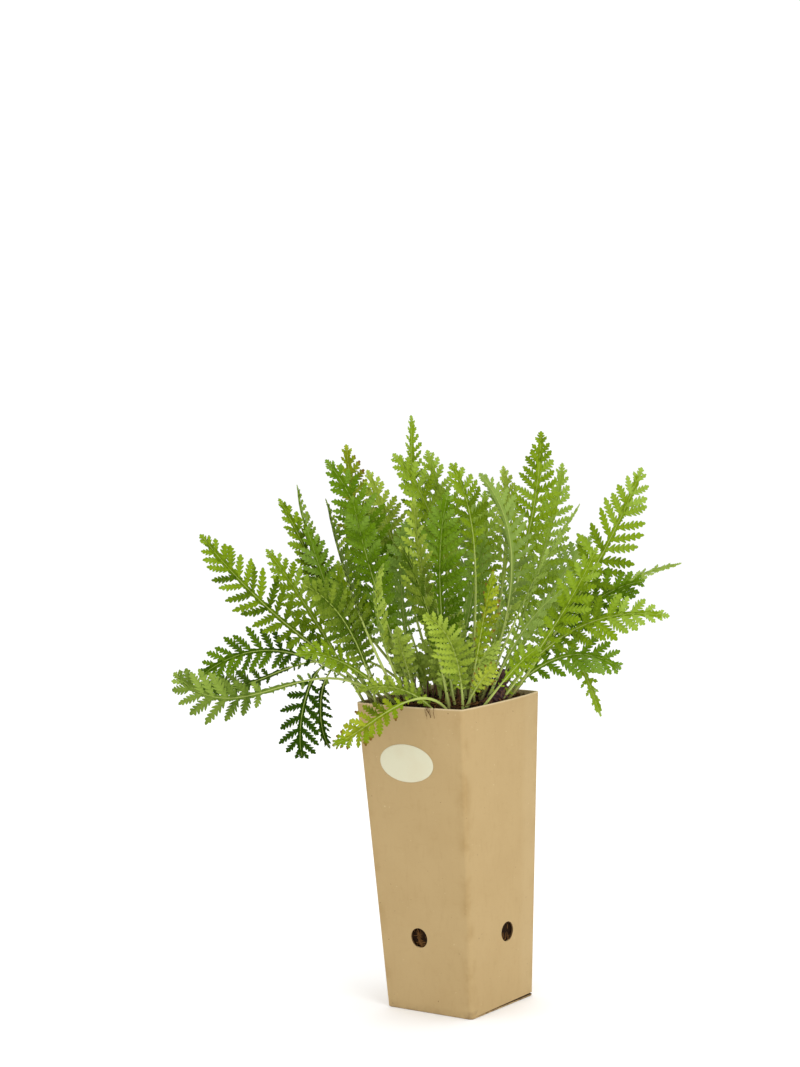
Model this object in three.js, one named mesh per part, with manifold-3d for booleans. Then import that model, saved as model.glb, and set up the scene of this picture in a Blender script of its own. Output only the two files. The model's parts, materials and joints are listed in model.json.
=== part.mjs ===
// A fernleaf yarrow in a tall tapered card pot: millimetres, +Z up, origin at the middle of the pot's base.
import * as THREE from "three";
import { mergeVertices } from "three/addons/utils/BufferGeometryUtils.js";
import Module from "manifold-3d";

const wasm = await Module();
wasm.setup();

// Card pot: one blank folded round four sides, its floor folded in from the -Y side
const POT_TOP = 90; // outer width across the rim
const POT_BASE = 72; // outer width across the foot
const POT_HEIGHT = 212;
const CARD = 1.2; // card thickness
const FOLD_RADIUS = 2.2; // outer radius of the four folded edges
const RIM_BOW = 2.6; // how far the soil pushes the middle of each side out at the rim
const LAP_WIDTH = 15; // glue lap inside the +X side, at its +Y edge
const SLIT = 0.8; // between the floor panel and the cut lower edges of the walls
const SLIT_AT_CORNER = 2.2; // the same at the +X +Y corner, where the wall has lifted
const DRAIN_RADIUS = 6.8;
const DRAIN_HEIGHT = 52;
const DRAIN_OFFSETS = { front: -4, right: 5, back: 4, left: -5 }; // along each side, from its middle
const GAP = 0.35; // between pieces that touch

// Oval plant label on the -Y side
const LABEL_WIDTH = 45;
const LABEL_HEIGHT = 26;
const LABEL_THICKNESS = 0.5;
const LABEL_CENTRE = { along: -3.5, height: 173 };
const LABEL_SEGMENTS = 28;

// Compost and rootstock
const SOIL_HEIGHT = 203;
const SOIL_MOUND = 5;
const SOIL_LUMPS = 1.8;
const SOIL_MARGIN = 0.5;
const ROOT_DEPTH = 7; // how deep a leaf stalk stands
const SPREAD = 2.6; // how loosely the stalks of a shoot stand
const ROOT_LIMIT = 38.5; // how near the pot's sides they may stand

// Woody pieces: from, to (right, towards the viewer, height), radii on the way
const RHIZOMES = [
  [[-34, 2, 201], [34, 4, 206], [4, 7, 8, 6]],
  [[30, 8, 199], [37, 14, 231], [10, 9, 7, 3.5]],
];

// Leaves: a stalk, a rib, and leaflets cut to the rib in one thin arched blade
const BLADE_THICKNESS = 0.8;
const STALK_WIDTH = 2.6;
const RIB_WIDTH = 1.5;
const LEAFLET_SPACING = 10.2;
const STALK_SEGMENTS = 3;
const RIB_SAMPLES = 60;
const MIN_STALK = 15;
const SOCKET_REACH = 22; // a stalk is out of the compost by this length

// The clump is described as it is seen from the pot's front fold: right, towards the viewer, up
const VIEW_TURN = THREE.MathUtils.degToRad(38);
const VIEWER = new THREE.Vector3(0, -1, 0);
const UP = new THREE.Vector3(0, 0, 1);

const COLOURS = {
  card: 0xc9ac7c,
  label: 0xe4dcc0,
  soil: 0x2f2013,
  rootstock: 0x4a2b26,
  leaf: 0x68a31d,
  young_leaf: 0x98c340,
  deep_leaf: 0x4a8a14,
  pale_leaf: 0x9dc273,
  yellow_leaf: 0xb9c23c,
};

// Where each shoot of the rootstock stands: right, towards the viewer
const SHOOTS = {
  left: [-45, 6],
  middle: [-24, 8],
  front: [6, 36],
  right: [22, 6],
  back: [-2, -26],
};

// Each leaf: shoot, points its rib passes on the way to its tip, blade length, half width, facing, colour.
// Points are right, towards the viewer, height. Facing turns the upper side away from the viewer, in degrees.
const LEAVES = [
  ["right", [[56, -8, 306], [71, -10, 390]], 98, 17, 5, "leaf"],
  ["right", [[62, -32, 280], [87, -40, 366]], 118, 17, 16, "leaf"],
  ["right", [[94, 5, 282], [138, 0, 363]], 118, 18, 12, "leaf"],
  ["left", [[-66, 10, 231], [-108, 22, 270], [-161, 32, 333]], 116, 17, 8, "leaf"],
  ["middle", [[-84, 20, 231], [-136, 26, 222], [-184, 24, 240]], 92, 17, -12, "pale_leaf"],
  ["middle", [[-46, -6, 312], [-76, -8, 377]], 100, 17, 12, "deep_leaf"],
  ["back", [[-16, -32, 308], [-16, -34, 404]], 92, 14, 48, "leaf"],
  ["right", [[84, 24, 256], [150, 30, 264]], 104, 15, 6, "leaf"],
  ["right", [[74, 14, 236], [118, 16, 226]], 74, 15, 8, "deep_leaf"],
  ["right", [[86, 2, 262], [137, 4, 286]], 78, 15, 14, "deep_leaf"],
  ["front", [[-4, 24, 285], [4, 20, 354]], 112, 18, 2, "deep_leaf"],
  ["front", [[2, 56, 250], [-19, 68, 274]], 62, 15, -14, "young_leaf"],
  ["front", [[-20, 50, 218], [-50, 52, 204], [-79, 46, 186]], 58, 11, 8, "yellow_leaf"],
  ["middle", [[-100, 12, 254], [-164, 14, 246]], 84, 14, 4, "deep_leaf"],
  ["back", [[2, -14, 306], [-30, -12, 379]], 92, 16, 10, "leaf"],
  ["back", [[4, -20, 300], [-7, -22, 380]], 94, 16, 0, "leaf"],
  ["middle", [[-44, 16, 284], [-59, 14, 353]], 98, 15, -16, "deep_leaf"],
  ["right", [[50, 22, 296], [33, 26, 364]], 98, 16, 152, "pale_leaf"],
  ["middle", [[-47, 38, 272], [-40, 38, 308]], 66, 10, 66, "young_leaf"],
  ["front", [[-13, 46, 276], [-30, 42, 322]], 80, 14, -66, "young_leaf"],
  ["middle", [[-50, -24, 304], [-61, -28, 386]], 84, 14, 14, "yellow_leaf"],
  ["left", [[-66, 34, 262], [-96, 64, 296]], 84, 17, 10, "young_leaf"],
  ["left", [[-92, 8, 276], [-119, 8, 319]], 86, 14, 6, "leaf"],
  ["left", [[-82, -8, 290], [-109, -12, 352]], 92, 13, 30, "leaf"],
  ["left", [[-72, 2, 278], [-86, -2, 334]], 78, 14, 12, "deep_leaf"],
  ["right", [[22, 8, 308], [8, 8, 372]], 62, 15, 34, "leaf"],
  ["right", [[70, 34, 258], [102, 44, 314]], 98, 16, 14, "leaf"],
  ["right", [[102, -18, 268], [165, -20, 294]], 90, 9, 72, "pale_leaf"],
  ["right", [[44, -30, 292], [47, -34, 366]], 82, 13, 22, "young_leaf"],
  ["right", [[28, -22, 290], [33, -26, 350]], 80, 13, 12, "leaf"],
  ["front", [[-12, 34, 288], [-18, 30, 351]], 94, 14, -36, "young_leaf"],
  ["back", [[-24, -20, 302], [-41, -22, 370]], 80, 14, 10, "young_leaf"],
  ["middle", [[-62, 40, 278], [-82, 40, 351]], 84, 9, 68, "young_leaf"],
  ["back", [[-78, -44, 292], [-98, -54, 358]], 60, 8, 74, "leaf"],
  ["right", [[60, 32, 292], [93, 34, 342]], 86, 10, 82, "pale_leaf"],
  ["front", [[24, 42, 262], [34, 44, 302]], 62, 10, 40, "yellow_leaf"],
  ["right", [[52, 44, 258], [82, 54, 288]], 70, 13, 118, "pale_leaf"],
  ["right", [[74, -12, 238], [97, -14, 218], [106, -14, 187]], 68, 7, 12, "leaf"],
  ["left", [[-78, -8, 238], [-97, -12, 210], [-98, -16, 170]], 66, 14, 4, "deep_leaf"],
  ["middle", [[-82, -8, 238], [-130, -18, 226], [-180, -28, 222]], 76, 13, 16, "pale_leaf"],
  ["middle", [[-66, 34, 240], [-102, 62, 254]], 66, 12, 24, "leaf"],
  ["front", [[-30, 34, 221], [-63, 22, 219]], 56, 8, 10, "young_leaf"],
  ["front", [[20, 44, 224], [34, 46, 236]], 24, 8, 14, "yellow_leaf"],
  ["front", [[44, 40, 234], [62, 44, 248]], 36, 10, 24, "leaf"],
  ["back", [[-66, -42, 238], [-88, -46, 210], [-84, -44, 176]], 52, 8, 4, "deep_leaf"],
  ["back", [[-34, -46, 290], [-42, -66, 346]], 92, 15, 160, "leaf"],
  ["back", [[20, -52, 288], [26, -76, 344]], 92, 15, 172, "deep_leaf"],
  ["back", [[-52, -68, 262], [-92, -96, 288]], 92, 15, 150, "leaf"],
  ["back", [[44, -70, 262], [84, -102, 284]], 92, 15, 206, "leaf"],
  ["back", [[-6, -84, 260], [-14, -134, 270]], 92, 15, 180, "leaf"],
  ["right", [[70, -44, 266], [108, -70, 312]], 92, 15, 200, "deep_leaf"],
  ["middle", [[-34, -8, 282], [-32, -4, 334]], 84, 14, 20, "deep_leaf"],
  ["back", [[14, -14, 268], [24, -18, 322]], 84, 14, -10, "deep_leaf"],
  ["left", [[-60, 16, 268], [-66, 20, 312]], 72, 14, 14, "leaf"],
  ["right", [[60, -4, 250], [88, -10, 276]], 70, 13, 30, "leaf"],
];

// Turns, in degrees, and shifts of the root tried when a leaf as described would cross one already placed
const NUDGE_STEP = 2.5;
const NUDGE_RINGS = 4;
const ROOT_SHIFTS = [0, 2.4, 4.8];

let seed = 20241;
function random() {
  seed = (Math.imul(seed, 1664525) + 1013904223) >>> 0;
  return seed / 4294967296;
}

function between(low, high) {
  return low + (high - low) * random();
}

// A closed geometry as a solid for joining and cutting
function solidOf(geometry) {
  const bare = geometry.clone();
  bare.deleteAttribute("normal");
  bare.deleteAttribute("uv");
  const merged = mergeVertices(bare, 1e-4);
  return new wasm.Manifold(
    new wasm.Mesh({
      numProp: 3,
      vertProperties: merged.attributes.position.array,
      triVerts: new Uint32Array(merged.index.array),
    }),
  );
}

function solidFrom(points, triangles) {
  const geometry = new THREE.BufferGeometry().setFromPoints(points);
  geometry.setIndex(triangles.flat());
  return solidOf(geometry);
}

function geometryOf(solid) {
  const made = solid.getMesh();
  const geometry = new THREE.BufferGeometry();
  geometry.setAttribute("position", new THREE.BufferAttribute(made.vertProperties, 3));
  geometry.setIndex(new THREE.BufferAttribute(made.triVerts, 1));
  const flat = geometry.toNonIndexed();
  flat.computeVertexNormals();
  return flat;
}

function joined(solids) {
  return solids.reduce((a, b) => a.add(b));
}

// The main piece of a solid, without crumbs the cutting leaves
function mainPiece(solid) {
  return solid.decompose().reduce((a, b) => (b.volume() > a.volume() ? b : a));
}

// Joins rings of equal length, lowest first, into one closed skin with flat or domed ends
function loft(rings) {
  const count = rings[0].length;
  const points = rings.flat();
  const triangles = [];
  for (let level = 0; level + 1 < rings.length; level++) {
    for (let i = 0; i < count; i++) {
      const a = level * count + i;
      const b = level * count + ((i + 1) % count);
      triangles.push([a, b, b + count], [a, b + count, a + count]);
    }
  }
  const middle = (ring) =>
    ring.reduce((sum, p) => sum.add(p), new THREE.Vector3()).divideScalar(count);
  const top = (rings.length - 1) * count;
  points.push(middle(rings[0]), middle(rings[rings.length - 1]));
  for (let i = 0; i < count; i++) {
    const next = (i + 1) % count;
    triangles.push([next, i, points.length - 2], [top + i, top + next, points.length - 1]);
  }
  return solidFrom(points, triangles);
}

// The pot's section at a height, taken in by an inset from its outer face; a lap makes the +X side thicker
function potRing(height, inset, lap = 0) {
  const share = height / POT_HEIGHT;
  const half = (POT_BASE + (POT_TOP - POT_BASE) * share) / 2 - inset;
  const radius = Math.max(FOLD_RADIUS - inset, 0.4);
  const edge = half - radius;
  const bow = (along) => RIM_BOW * share * share * (1 - (along / edge) ** 2);
  const ring = [];
  for (let side = 0; side < 4; side++) {
    const turn = (side * Math.PI) / 2;
    const place = (along, out) =>
      ring.push(
        new THREE.Vector3(
          along * Math.cos(turn) + out * Math.sin(turn),
          along * Math.sin(turn) - out * Math.cos(turn),
          height,
        ),
      );
    const lapStart = half - LAP_WIDTH;
    const lapped = side === 1 && lap > 0;
    for (const along of [-edge, -edge / 2, 0]) place(along, half + bow(along));
    if (lapped) {
      place(lapStart, half + bow(lapStart));
      for (const along of [lapStart + 0.3, edge - 0.6]) place(along, half + bow(along) - lap);
    } else {
      place(edge / 2, half + bow(edge / 2));
    }
    place(edge, half);
    place(half - radius * 0.29, half - radius * 0.29);
  }
  return ring;
}

function potHeights(from, to) {
  return [from, 106, 170, to];
}

function drainHoles() {
  const turns = { front: 0, right: 90, back: 180, left: 270 };
  return Object.entries(turns).map(([side, degrees]) => {
    const hole = new THREE.CylinderGeometry(DRAIN_RADIUS, DRAIN_RADIUS, 20, 14);
    hole.translate(DRAIN_OFFSETS[side], -POT_BASE / 2, DRAIN_HEIGHT);
    hole.rotateZ(THREE.MathUtils.degToRad(degrees));
    return solidOf(hole);
  });
}

// The thin gap under the three walls that are cut, not folded, at the foot
function footSlit() {
  const far = POT_BASE;
  const wedge = (points, height) => {
    const low = points.map(([x, y]) => new THREE.Vector3(x, y, CARD));
    const high = points.map(([x, y], i) => new THREE.Vector3(x, y, CARD + height[i]));
    return loft([low, high]);
  };
  const inner = POT_BASE / 2 - CARD - 1;
  const front = -POT_BASE / 2 + FOLD_RADIUS + 1;
  return joined([
    wedge([[inner, front], [far, front], [far, far], [inner, far]],
      [0.1, 0.1, SLIT_AT_CORNER, SLIT_AT_CORNER]),
    wedge([[-far, inner], [far, inner], [far, far], [-far, far]], [SLIT, SLIT, SLIT, SLIT]),
    wedge([[-far, front], [-inner, front], [-inner, far], [-far, far]], [SLIT, SLIT, SLIT, SLIT]),
  ]);
}

function cardPot() {
  const outside = loft(potHeights(0, POT_HEIGHT).map((z) => potRing(z, 0)));
  const inside = loft(potHeights(CARD, POT_HEIGHT + 1).map((z) => potRing(z, CARD, CARD)));
  return outside.subtract(inside).subtract(joined(drainHoles())).subtract(footSlit());
}

function labelSolid() {
  const oval = new THREE.CylinderGeometry(1, 1, LABEL_THICKNESS, LABEL_SEGMENTS);
  oval.scale(LABEL_WIDTH / 2, 1, LABEL_HEIGHT / 2);
  const share = LABEL_CENTRE.height / POT_HEIGHT;
  const half = (POT_BASE + (POT_TOP - POT_BASE) * share) / 2 + RIM_BOW * share * share;
  oval.rotateX(Math.atan((POT_TOP - POT_BASE) / 2 / POT_HEIGHT) + 0.02);
  oval.translate(LABEL_CENTRE.along, -half - LABEL_THICKNESS / 2 - 0.15, LABEL_CENTRE.height);
  return solidOf(oval);
}

// Compost fills the pot to just under the rim, lumpy on top and a little higher in the middle
function compost() {
  const wall = CARD + SOIL_MARGIN;
  const rings = [CARD + SOIL_MARGIN, 120, SOIL_HEIGHT].map((z) => potRing(z, wall, CARD));
  const rim = rings[rings.length - 1];
  for (const [scale, rise] of [[0.74, 0.5], [0.36, 1]]) {
    rings.push(
      rim.map(
        (p) =>
          new THREE.Vector3(
            p.x * scale,
            p.y * scale,
            SOIL_HEIGHT + SOIL_MOUND * rise + between(-SOIL_LUMPS, SOIL_LUMPS),
          ),
      ),
    );
  }
  return loft(rings);
}

// The point at a share of the way along the rib: the one smooth curve through its points
function ribPoint(points, share) {
  const last = points.length - 1;
  const sum = new THREE.Vector3();
  points.forEach((point, i) => {
    let weight = 1;
    for (let j = 0; j <= last; j++) {
      if (j !== i) weight *= (share * last - j) / (i - j);
    }
    sum.addScaledVector(point, weight);
  });
  return sum;
}

// Evenly spaced stations along the rib with their directions
function ribStations(points, shares, facing) {
  const samples = [];
  let length = 0;
  for (let i = 0; i <= RIB_SAMPLES; i++) {
    const point = ribPoint(points, i / RIB_SAMPLES);
    if (i > 0) length += point.distanceTo(samples[i - 1].point);
    samples.push({ point, length });
  }
  const at = (distance) => {
    const wanted = THREE.MathUtils.clamp(distance, 0, length);
    const i = Math.max(1, samples.findIndex((s) => s.length >= wanted - 1e-9));
    const [a, b] = [samples[i - 1], samples[i]];
    return a.point.clone().lerp(b.point, (wanted - a.length) / (b.length - a.length));
  };
  const turn = THREE.MathUtils.degToRad(facing);
  return shares(length).map((distance) => {
    const along = at(distance + 1).sub(at(distance - 1)).normalize();
    const towards = VIEWER.clone().addScaledVector(UP, 0.35);
    const up = towards.addScaledVector(along, -towards.dot(along)).normalize();
    up.applyAxisAngle(along, turn);
    return { point: at(distance), along, up, side: along.clone().cross(up) };
  });
}

// How long the leaflets are along the blade, as a share of the longest
function bladeOutline(share) {
  const rise = 0.45 + 0.55 * Math.min(1, share / 0.38) ** 0.8;
  const fall = 1 - 0.72 * (Math.max(0, share - 0.42) / 0.58) ** 1.5;
  return rise * fall;
}

// Gives a sheet of triangles its thickness, with a wall along each free edge
function thicken(sheet) {
  const count = sheet.points.length;
  const points = [1, -1].flatMap((face) =>
    sheet.points.map((v) => v.point.clone().addScaledVector(v.up, face * v.half)),
  );
  const triangles = [];
  const open = new Map();
  for (const [a, b, c] of sheet.triangles) {
    triangles.push([a, b, c], [c + count, b + count, a + count]);
    for (const [p, q] of [[a, b], [b, c], [c, a]]) {
      if (!open.delete(`${q},${p}`)) open.set(`${p},${q}`, [p, q]);
    }
  }
  for (const [p, q] of open.values()) {
    triangles.push([q, p, p + count], [q, p + count, q + count]);
  }
  return solidFrom(points, triangles);
}

function bladeStart(leaf, length) {
  return Math.max(length - leaf.blade, MIN_STALK);
}

// One leaf as a sheet: stalk and rib as a strip, with a pair of leaflets on each stretch of the blade
function frondSheet(leaf, swell) {
  const pairs = Math.round(leaf.blade / LEAFLET_SPACING);
  const stations = ribStations(
    leaf.points,
    (length) => {
      const start = bladeStart(leaf, length);
      const steps = [];
      for (let i = 0; i < STALK_SEGMENTS; i++) steps.push((start * i) / STALK_SEGMENTS);
      for (let i = 0; i <= pairs; i++) steps.push(start + ((length - start) * i * 0.93) / pairs);
      return steps;
    },
    leaf.facing,
  );
  const sheet = { points: [], triangles: [] };
  const add = (point, up, half) => sheet.points.push({ point, up, half: half + swell }) - 1;
  const strip = stations.map((s, i) => {
    const stalk = Math.max(0, 1 - i / STALK_SEGMENTS);
    const onBlade = Math.max(0, i - STALK_SEGMENTS) / pairs;
    const width = (RIB_WIDTH + (STALK_WIDTH - RIB_WIDTH) * stalk) * (1 - 0.5 * onBlade) + 2 * swell;
    const half = (BLADE_THICKNESS + (STALK_WIDTH * 0.85 - BLADE_THICKNESS) * stalk) / 2;
    return [-1, 1].map((hand) =>
      add(s.point.clone().addScaledVector(s.side, (hand * width) / 2), s.up, half),
    );
  });
  for (let i = 0; i + 1 < strip.length; i++) {
    const [left, right] = strip[i];
    const [nextLeft, nextRight] = strip[i + 1];
    sheet.triangles.push([left, right, nextRight], [left, nextRight, nextLeft]);
  }
  for (let i = 0; i < pairs; i++) {
    const [here, next] = [stations[STALK_SEGMENTS + i], stations[STALK_SEGMENTS + i + 1]];
    const share = (i + 0.5) / pairs;
    const spacing = here.point.distanceTo(next.point);
    const lean = THREE.MathUtils.degToRad(62 - 26 * share);
    const length = (leaf.width * bladeOutline(share)) / Math.sin(lean);
    const breadth = spacing * Math.sin(lean) * 0.8 + 2 * swell;
    const along = here.along.clone().add(next.along).normalize();
    const up = here.up.clone().add(next.up).normalize();
    [-1, 1].forEach((hand, side) => {
      const out = here.side.clone().multiplyScalar(hand);
      const fold = THREE.MathUtils.degToRad(leaf.fold);
      const axis = along.clone().multiplyScalar(Math.cos(lean))
        .addScaledVector(out, Math.sin(lean) * Math.cos(fold))
        .addScaledVector(up, Math.sin(lean) * Math.sin(fold));
      const across = along.clone().multiplyScalar(Math.sin(lean))
        .addScaledVector(out, -Math.cos(lean))
        .addScaledVector(up, 0.3);
      const root = here.point.clone().add(next.point).multiplyScalar(0.5);
      const half = BLADE_THICKNESS / 2;
      const normal = up.clone().addScaledVector(out, -Math.sin(fold)).normalize();
      const spot = (reach, breadthShare, droop) =>
        add(
          root.clone().addScaledVector(axis, reach * length + swell)
            .addScaledVector(across, breadthShare * breadth)
            .addScaledVector(up, -droop * length),
          normal,
          half,
        );
      const tip = spot(1, -0.14, 0.1);
      const front = spot(0.8, 0.34, 0.02);
      const a = strip[STALK_SEGMENTS + i][side];
      const b = strip[STALK_SEGMENTS + i + 1][side];
      const faces = [[a, b, front], [a, front, tip]];
      sheet.triangles.push(...(hand < 0 ? faces : faces.map(([p, q, r]) => [p, r, q])));
    });
  }
  const end = stations[stations.length - 1];
  const [left, right] = strip[strip.length - 1];
  const reach = leaf.width * 0.36;
  const tipSpot = (forward, sideways) =>
    add(
      end.point.clone().addScaledVector(end.along, forward + swell)
        .addScaledVector(end.side, sideways),
      end.up,
      BLADE_THICKNESS / 2,
    );
  const leftLobe = tipSpot(reach * 0.5, -reach * 0.55 - swell);
  const tip = tipSpot(leaf.blade * 0.07 + reach * 0.4, 0);
  const rightLobe = tipSpot(reach * 0.5, reach * 0.55 + swell);
  sheet.triangles.push([left, right, rightLobe], [left, rightLobe, leftLobe], [leftLobe, rightLobe, tip]);
  return sheet;
}

// The foot of the stalk alone, a little fatter, that its hole in the compost is cut with
function socketSheet(leaf, swell) {
  const feet = (length) => {
    const step = bladeStart(leaf, length) / STALK_SEGMENTS;
    return Array.from({ length: Math.ceil(SOCKET_REACH / step) + 1 }, (_, i) => i * step);
  };
  const stations = ribStations(leaf.points, feet, leaf.facing);
  const sheet = { points: [], triangles: [] };
  stations.forEach((s, i) => {
    for (const hand of [-1, 1]) {
      const point = s.point.clone()
        .addScaledVector(s.side, hand * (STALK_WIDTH / 2 + swell))
        .addScaledVector(s.along, i === 0 ? -swell : 0);
      sheet.points.push({ point, up: s.up, half: STALK_WIDTH * 0.425 + swell });
    }
    const a = 2 * i;
    if (i > 0) sheet.triangles.push([a - 2, a - 1, a + 1], [a - 2, a + 1, a]);
  });
  return sheet;
}

function insidePot(right, towards) {
  const place = new THREE.Vector3(right, -towards, 0).applyAxisAngle(UP, VIEW_TURN);
  place.clampScalar(-ROOT_LIMIT, ROOT_LIMIT).applyAxisAngle(UP, -VIEW_TURN);
  return [place.x, -place.y];
}

// Spreads the stalks of each shoot on a spiral, each on the side its leaf leans to
function rootSpots() {
  const groups = {};
  LEAVES.forEach(([shoot], i) => (groups[shoot] ??= []).push(i));
  const spots = [];
  for (const [shoot, members] of Object.entries(groups)) {
    const [right, towards] = SHOOTS[shoot];
    const free = members.map((_, i) => {
      const angle = (i + 1) * THREE.MathUtils.degToRad(137.5);
      const radius = SPREAD * Math.sqrt(i + 0.6);
      return [radius * Math.cos(angle), radius * Math.sin(angle)];
    });
    const lean = (i) => LEAVES[i][1][0].slice(0, 2).map((v, axis) => v - SHOOTS[shoot][axis]);
    const order = [...members].sort((a, b) => Math.hypot(...lean(b)) - Math.hypot(...lean(a)));
    for (const i of order) {
      const [x, y] = lean(i);
      const fit = ([u, v]) => u * x + v * y;
      const best = free.reduce((a, b) => (fit(b) > fit(a) ? b : a));
      free.splice(free.indexOf(best), 1);
      spots[i] = insidePot(right + best[0], towards + best[1]);
    }
  }
  return spots;
}

// A creeping rhizome lying in the compost, with a woody stub standing out of it
function rootstockSolid() {
  const level = SOIL_HEIGHT;
  const piece = (ends, radii, sides) => {
    const [from, to] = ends.map(([right, towards, z]) => new THREE.Vector3(right, -towards, z));
    const rings = [0, 0.3, 0.7, 1].map((share, i) => {
      const along = to.clone().sub(from).normalize();
      const across = along.clone().cross(Math.abs(along.z) > 0.7 ? VIEWER : UP).normalize();
      const other = along.clone().cross(across);
      return Array.from({ length: sides }, (_, k) => {
        const angle = (2 * Math.PI * k) / sides;
        const radius = radii[i] * between(0.86, 1.14);
        return from.clone().lerp(to, share)
          .addScaledVector(across, radius * Math.cos(angle))
          .addScaledVector(other, radius * Math.sin(angle));
      });
    });
    return loft(rings);
  };
  return joined(RHIZOMES.map(([from, to, radii]) => piece([from, to], radii, 7)));
}

function toPot(solid) {
  return solid.rotate([0, 0, THREE.MathUtils.radToDeg(VIEW_TURN)]);
}

// The leaf with its root shifted, then turned about it: round the upright, then up or down
function nudged(leaf, { turn, lift, right, towards }) {
  const root = leaf.points[0];
  const lean = leaf.points[leaf.points.length - 1].clone().sub(root);
  const hinge = new THREE.Vector3(lean.y, -lean.x, 0).normalize();
  const points = leaf.points.map((p) =>
    p.clone().sub(root)
      .applyAxisAngle(hinge, THREE.MathUtils.degToRad(lift))
      .applyAxisAngle(UP, THREE.MathUtils.degToRad(turn))
      .add(root)
      .add(new THREE.Vector3(right, -towards, 0)),
  );
  return { ...leaf, points };
}

function nudges() {
  const tries = [];
  for (const reach of ROOT_SHIFTS) {
    for (let k = 0; k < (reach > 0 ? 6 : 1); k++) {
      const [right, towards] = [reach * Math.cos((k * Math.PI) / 3), reach * Math.sin((k * Math.PI) / 3)];
      for (let i = -NUDGE_RINGS; i <= NUDGE_RINGS; i++) {
        for (let j = -NUDGE_RINGS; j <= NUDGE_RINGS; j++) {
          const cost = Math.hypot(i, j) + reach;
          tries.push({ turn: i * NUDGE_STEP, lift: j * NUDGE_STEP, right, towards, cost });
        }
      }
    }
  }
  return tries.sort((a, b) => a.cost - b.cost);
}

function boxesMeet(a, b) {
  return [0, 1, 2].every((i) => a.min[i] <= b.max[i] && b.min[i] <= a.max[i]);
}

// Places each leaf in turn, bent clear of the pot, the compost and the leaves before it
function placeLeaves(pot, ground) {
  const spots = rootSpots();
  const tries = nudges();
  const placed = [];
  const obstacles = [{ solid: pot, box: pot.boundingBox() }];
  LEAVES.forEach(([shoot, path, blade, width, facing, colour], i) => {
    const root = new THREE.Vector3(spots[i][0], -spots[i][1], SOIL_HEIGHT + 1 - ROOT_DEPTH);
    const points = [root, ...path.map(([right, towards, z]) => new THREE.Vector3(right, -towards, z))];
    const wanted = { points, blade, width, facing, colour, fold: 18 };
    for (const nudge of tries) {
      const leaf = nudged(wanted, nudge);
      const fat = thicken(frondSheet(leaf, GAP));
      const box = fat.boundingBox();
      const hit = obstacles.some((o) => boxesMeet(o.box, box) && fat.intersect(o.solid).volume() > 0);
      if (hit) continue;
      const clearOfGround = fat.subtract(thicken(socketSheet(leaf, 4)));
      if (clearOfGround.intersect(ground).volume() > 0) continue;
      const solid = thicken(frondSheet(leaf, 0));
      obstacles.push({ solid, box: solid.boundingBox() });
      placed.push({ solid, socket: thicken(socketSheet(leaf, GAP)), colour });
      return;
    }
    throw new Error(`leaf ${i + 1}, from the ${shoot} shoot, has no room`);
  });
  return placed;
}

function meshOf(name, solid, colour) {
  const material = new THREE.MeshStandardMaterial({ color: COLOURS[colour], roughness: 0.8, metalness: 0 });
  const mesh = new THREE.Mesh(geometryOf(solid), material);
  mesh.name = name;
  return mesh;
}

const pot = cardPot();
const rawSoil = compost();
const rawRootstock = rootstockSolid();
const potInView = pot.rotate([0, 0, -THREE.MathUtils.radToDeg(VIEW_TURN)]);
const soilInView = rawSoil.rotate([0, 0, -THREE.MathUtils.radToDeg(VIEW_TURN)]);
const leaves = placeLeaves(potInView, soilInView.add(rawRootstock));
const sockets = joined(leaves.map((leaf) => leaf.socket));

const yarrow = new THREE.Group();
yarrow.add(meshOf("card_pot", pot, "card"));
yarrow.add(meshOf("label", labelSolid(), "label"));
yarrow.add(meshOf("compost", mainPiece(rawSoil.subtract(toPot(rawRootstock.add(sockets)))), "soil"));
yarrow.add(meshOf("rootstock", toPot(mainPiece(rawRootstock.subtract(sockets))), "rootstock"));
leaves.forEach((leaf, i) => {
  yarrow.add(meshOf(`frond_${String(i + 1).padStart(2, "0")}`, toPot(leaf.solid), leaf.colour));
});

export default yarrow;
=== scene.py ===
"""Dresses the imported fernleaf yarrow: fine leaves, compost, rootstock, card pot and label."""

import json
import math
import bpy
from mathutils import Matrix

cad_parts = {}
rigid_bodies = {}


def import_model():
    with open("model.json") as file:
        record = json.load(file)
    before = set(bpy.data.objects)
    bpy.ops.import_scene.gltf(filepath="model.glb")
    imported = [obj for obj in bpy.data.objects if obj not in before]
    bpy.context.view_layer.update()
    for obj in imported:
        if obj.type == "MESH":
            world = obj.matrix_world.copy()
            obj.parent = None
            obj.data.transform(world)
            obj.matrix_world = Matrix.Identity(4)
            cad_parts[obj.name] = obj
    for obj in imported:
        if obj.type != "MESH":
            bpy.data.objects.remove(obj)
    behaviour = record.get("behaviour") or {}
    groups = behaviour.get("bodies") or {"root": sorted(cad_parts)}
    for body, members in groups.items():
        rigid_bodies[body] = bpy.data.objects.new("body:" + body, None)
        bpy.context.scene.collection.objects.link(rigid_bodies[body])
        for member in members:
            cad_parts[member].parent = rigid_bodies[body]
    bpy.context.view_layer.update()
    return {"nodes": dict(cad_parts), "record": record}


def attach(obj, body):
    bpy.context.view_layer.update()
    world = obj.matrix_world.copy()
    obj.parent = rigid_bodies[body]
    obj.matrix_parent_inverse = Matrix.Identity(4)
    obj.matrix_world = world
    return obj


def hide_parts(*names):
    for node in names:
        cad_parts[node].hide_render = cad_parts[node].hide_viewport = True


bl_info = {
    "name": "Potted fernleaf yarrow",
    "version": (1, 0, 0),
    "blender": (4, 5, 0),
    "location": "View3D > Sidebar > Yarrow",
    "description": "Makes a clump of fernleaf yarrow in a tall tapered card pot",
    "category": "Add Mesh",
}

import bpy
import numpy as np
from mathutils import Matrix, Vector, noise

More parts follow.
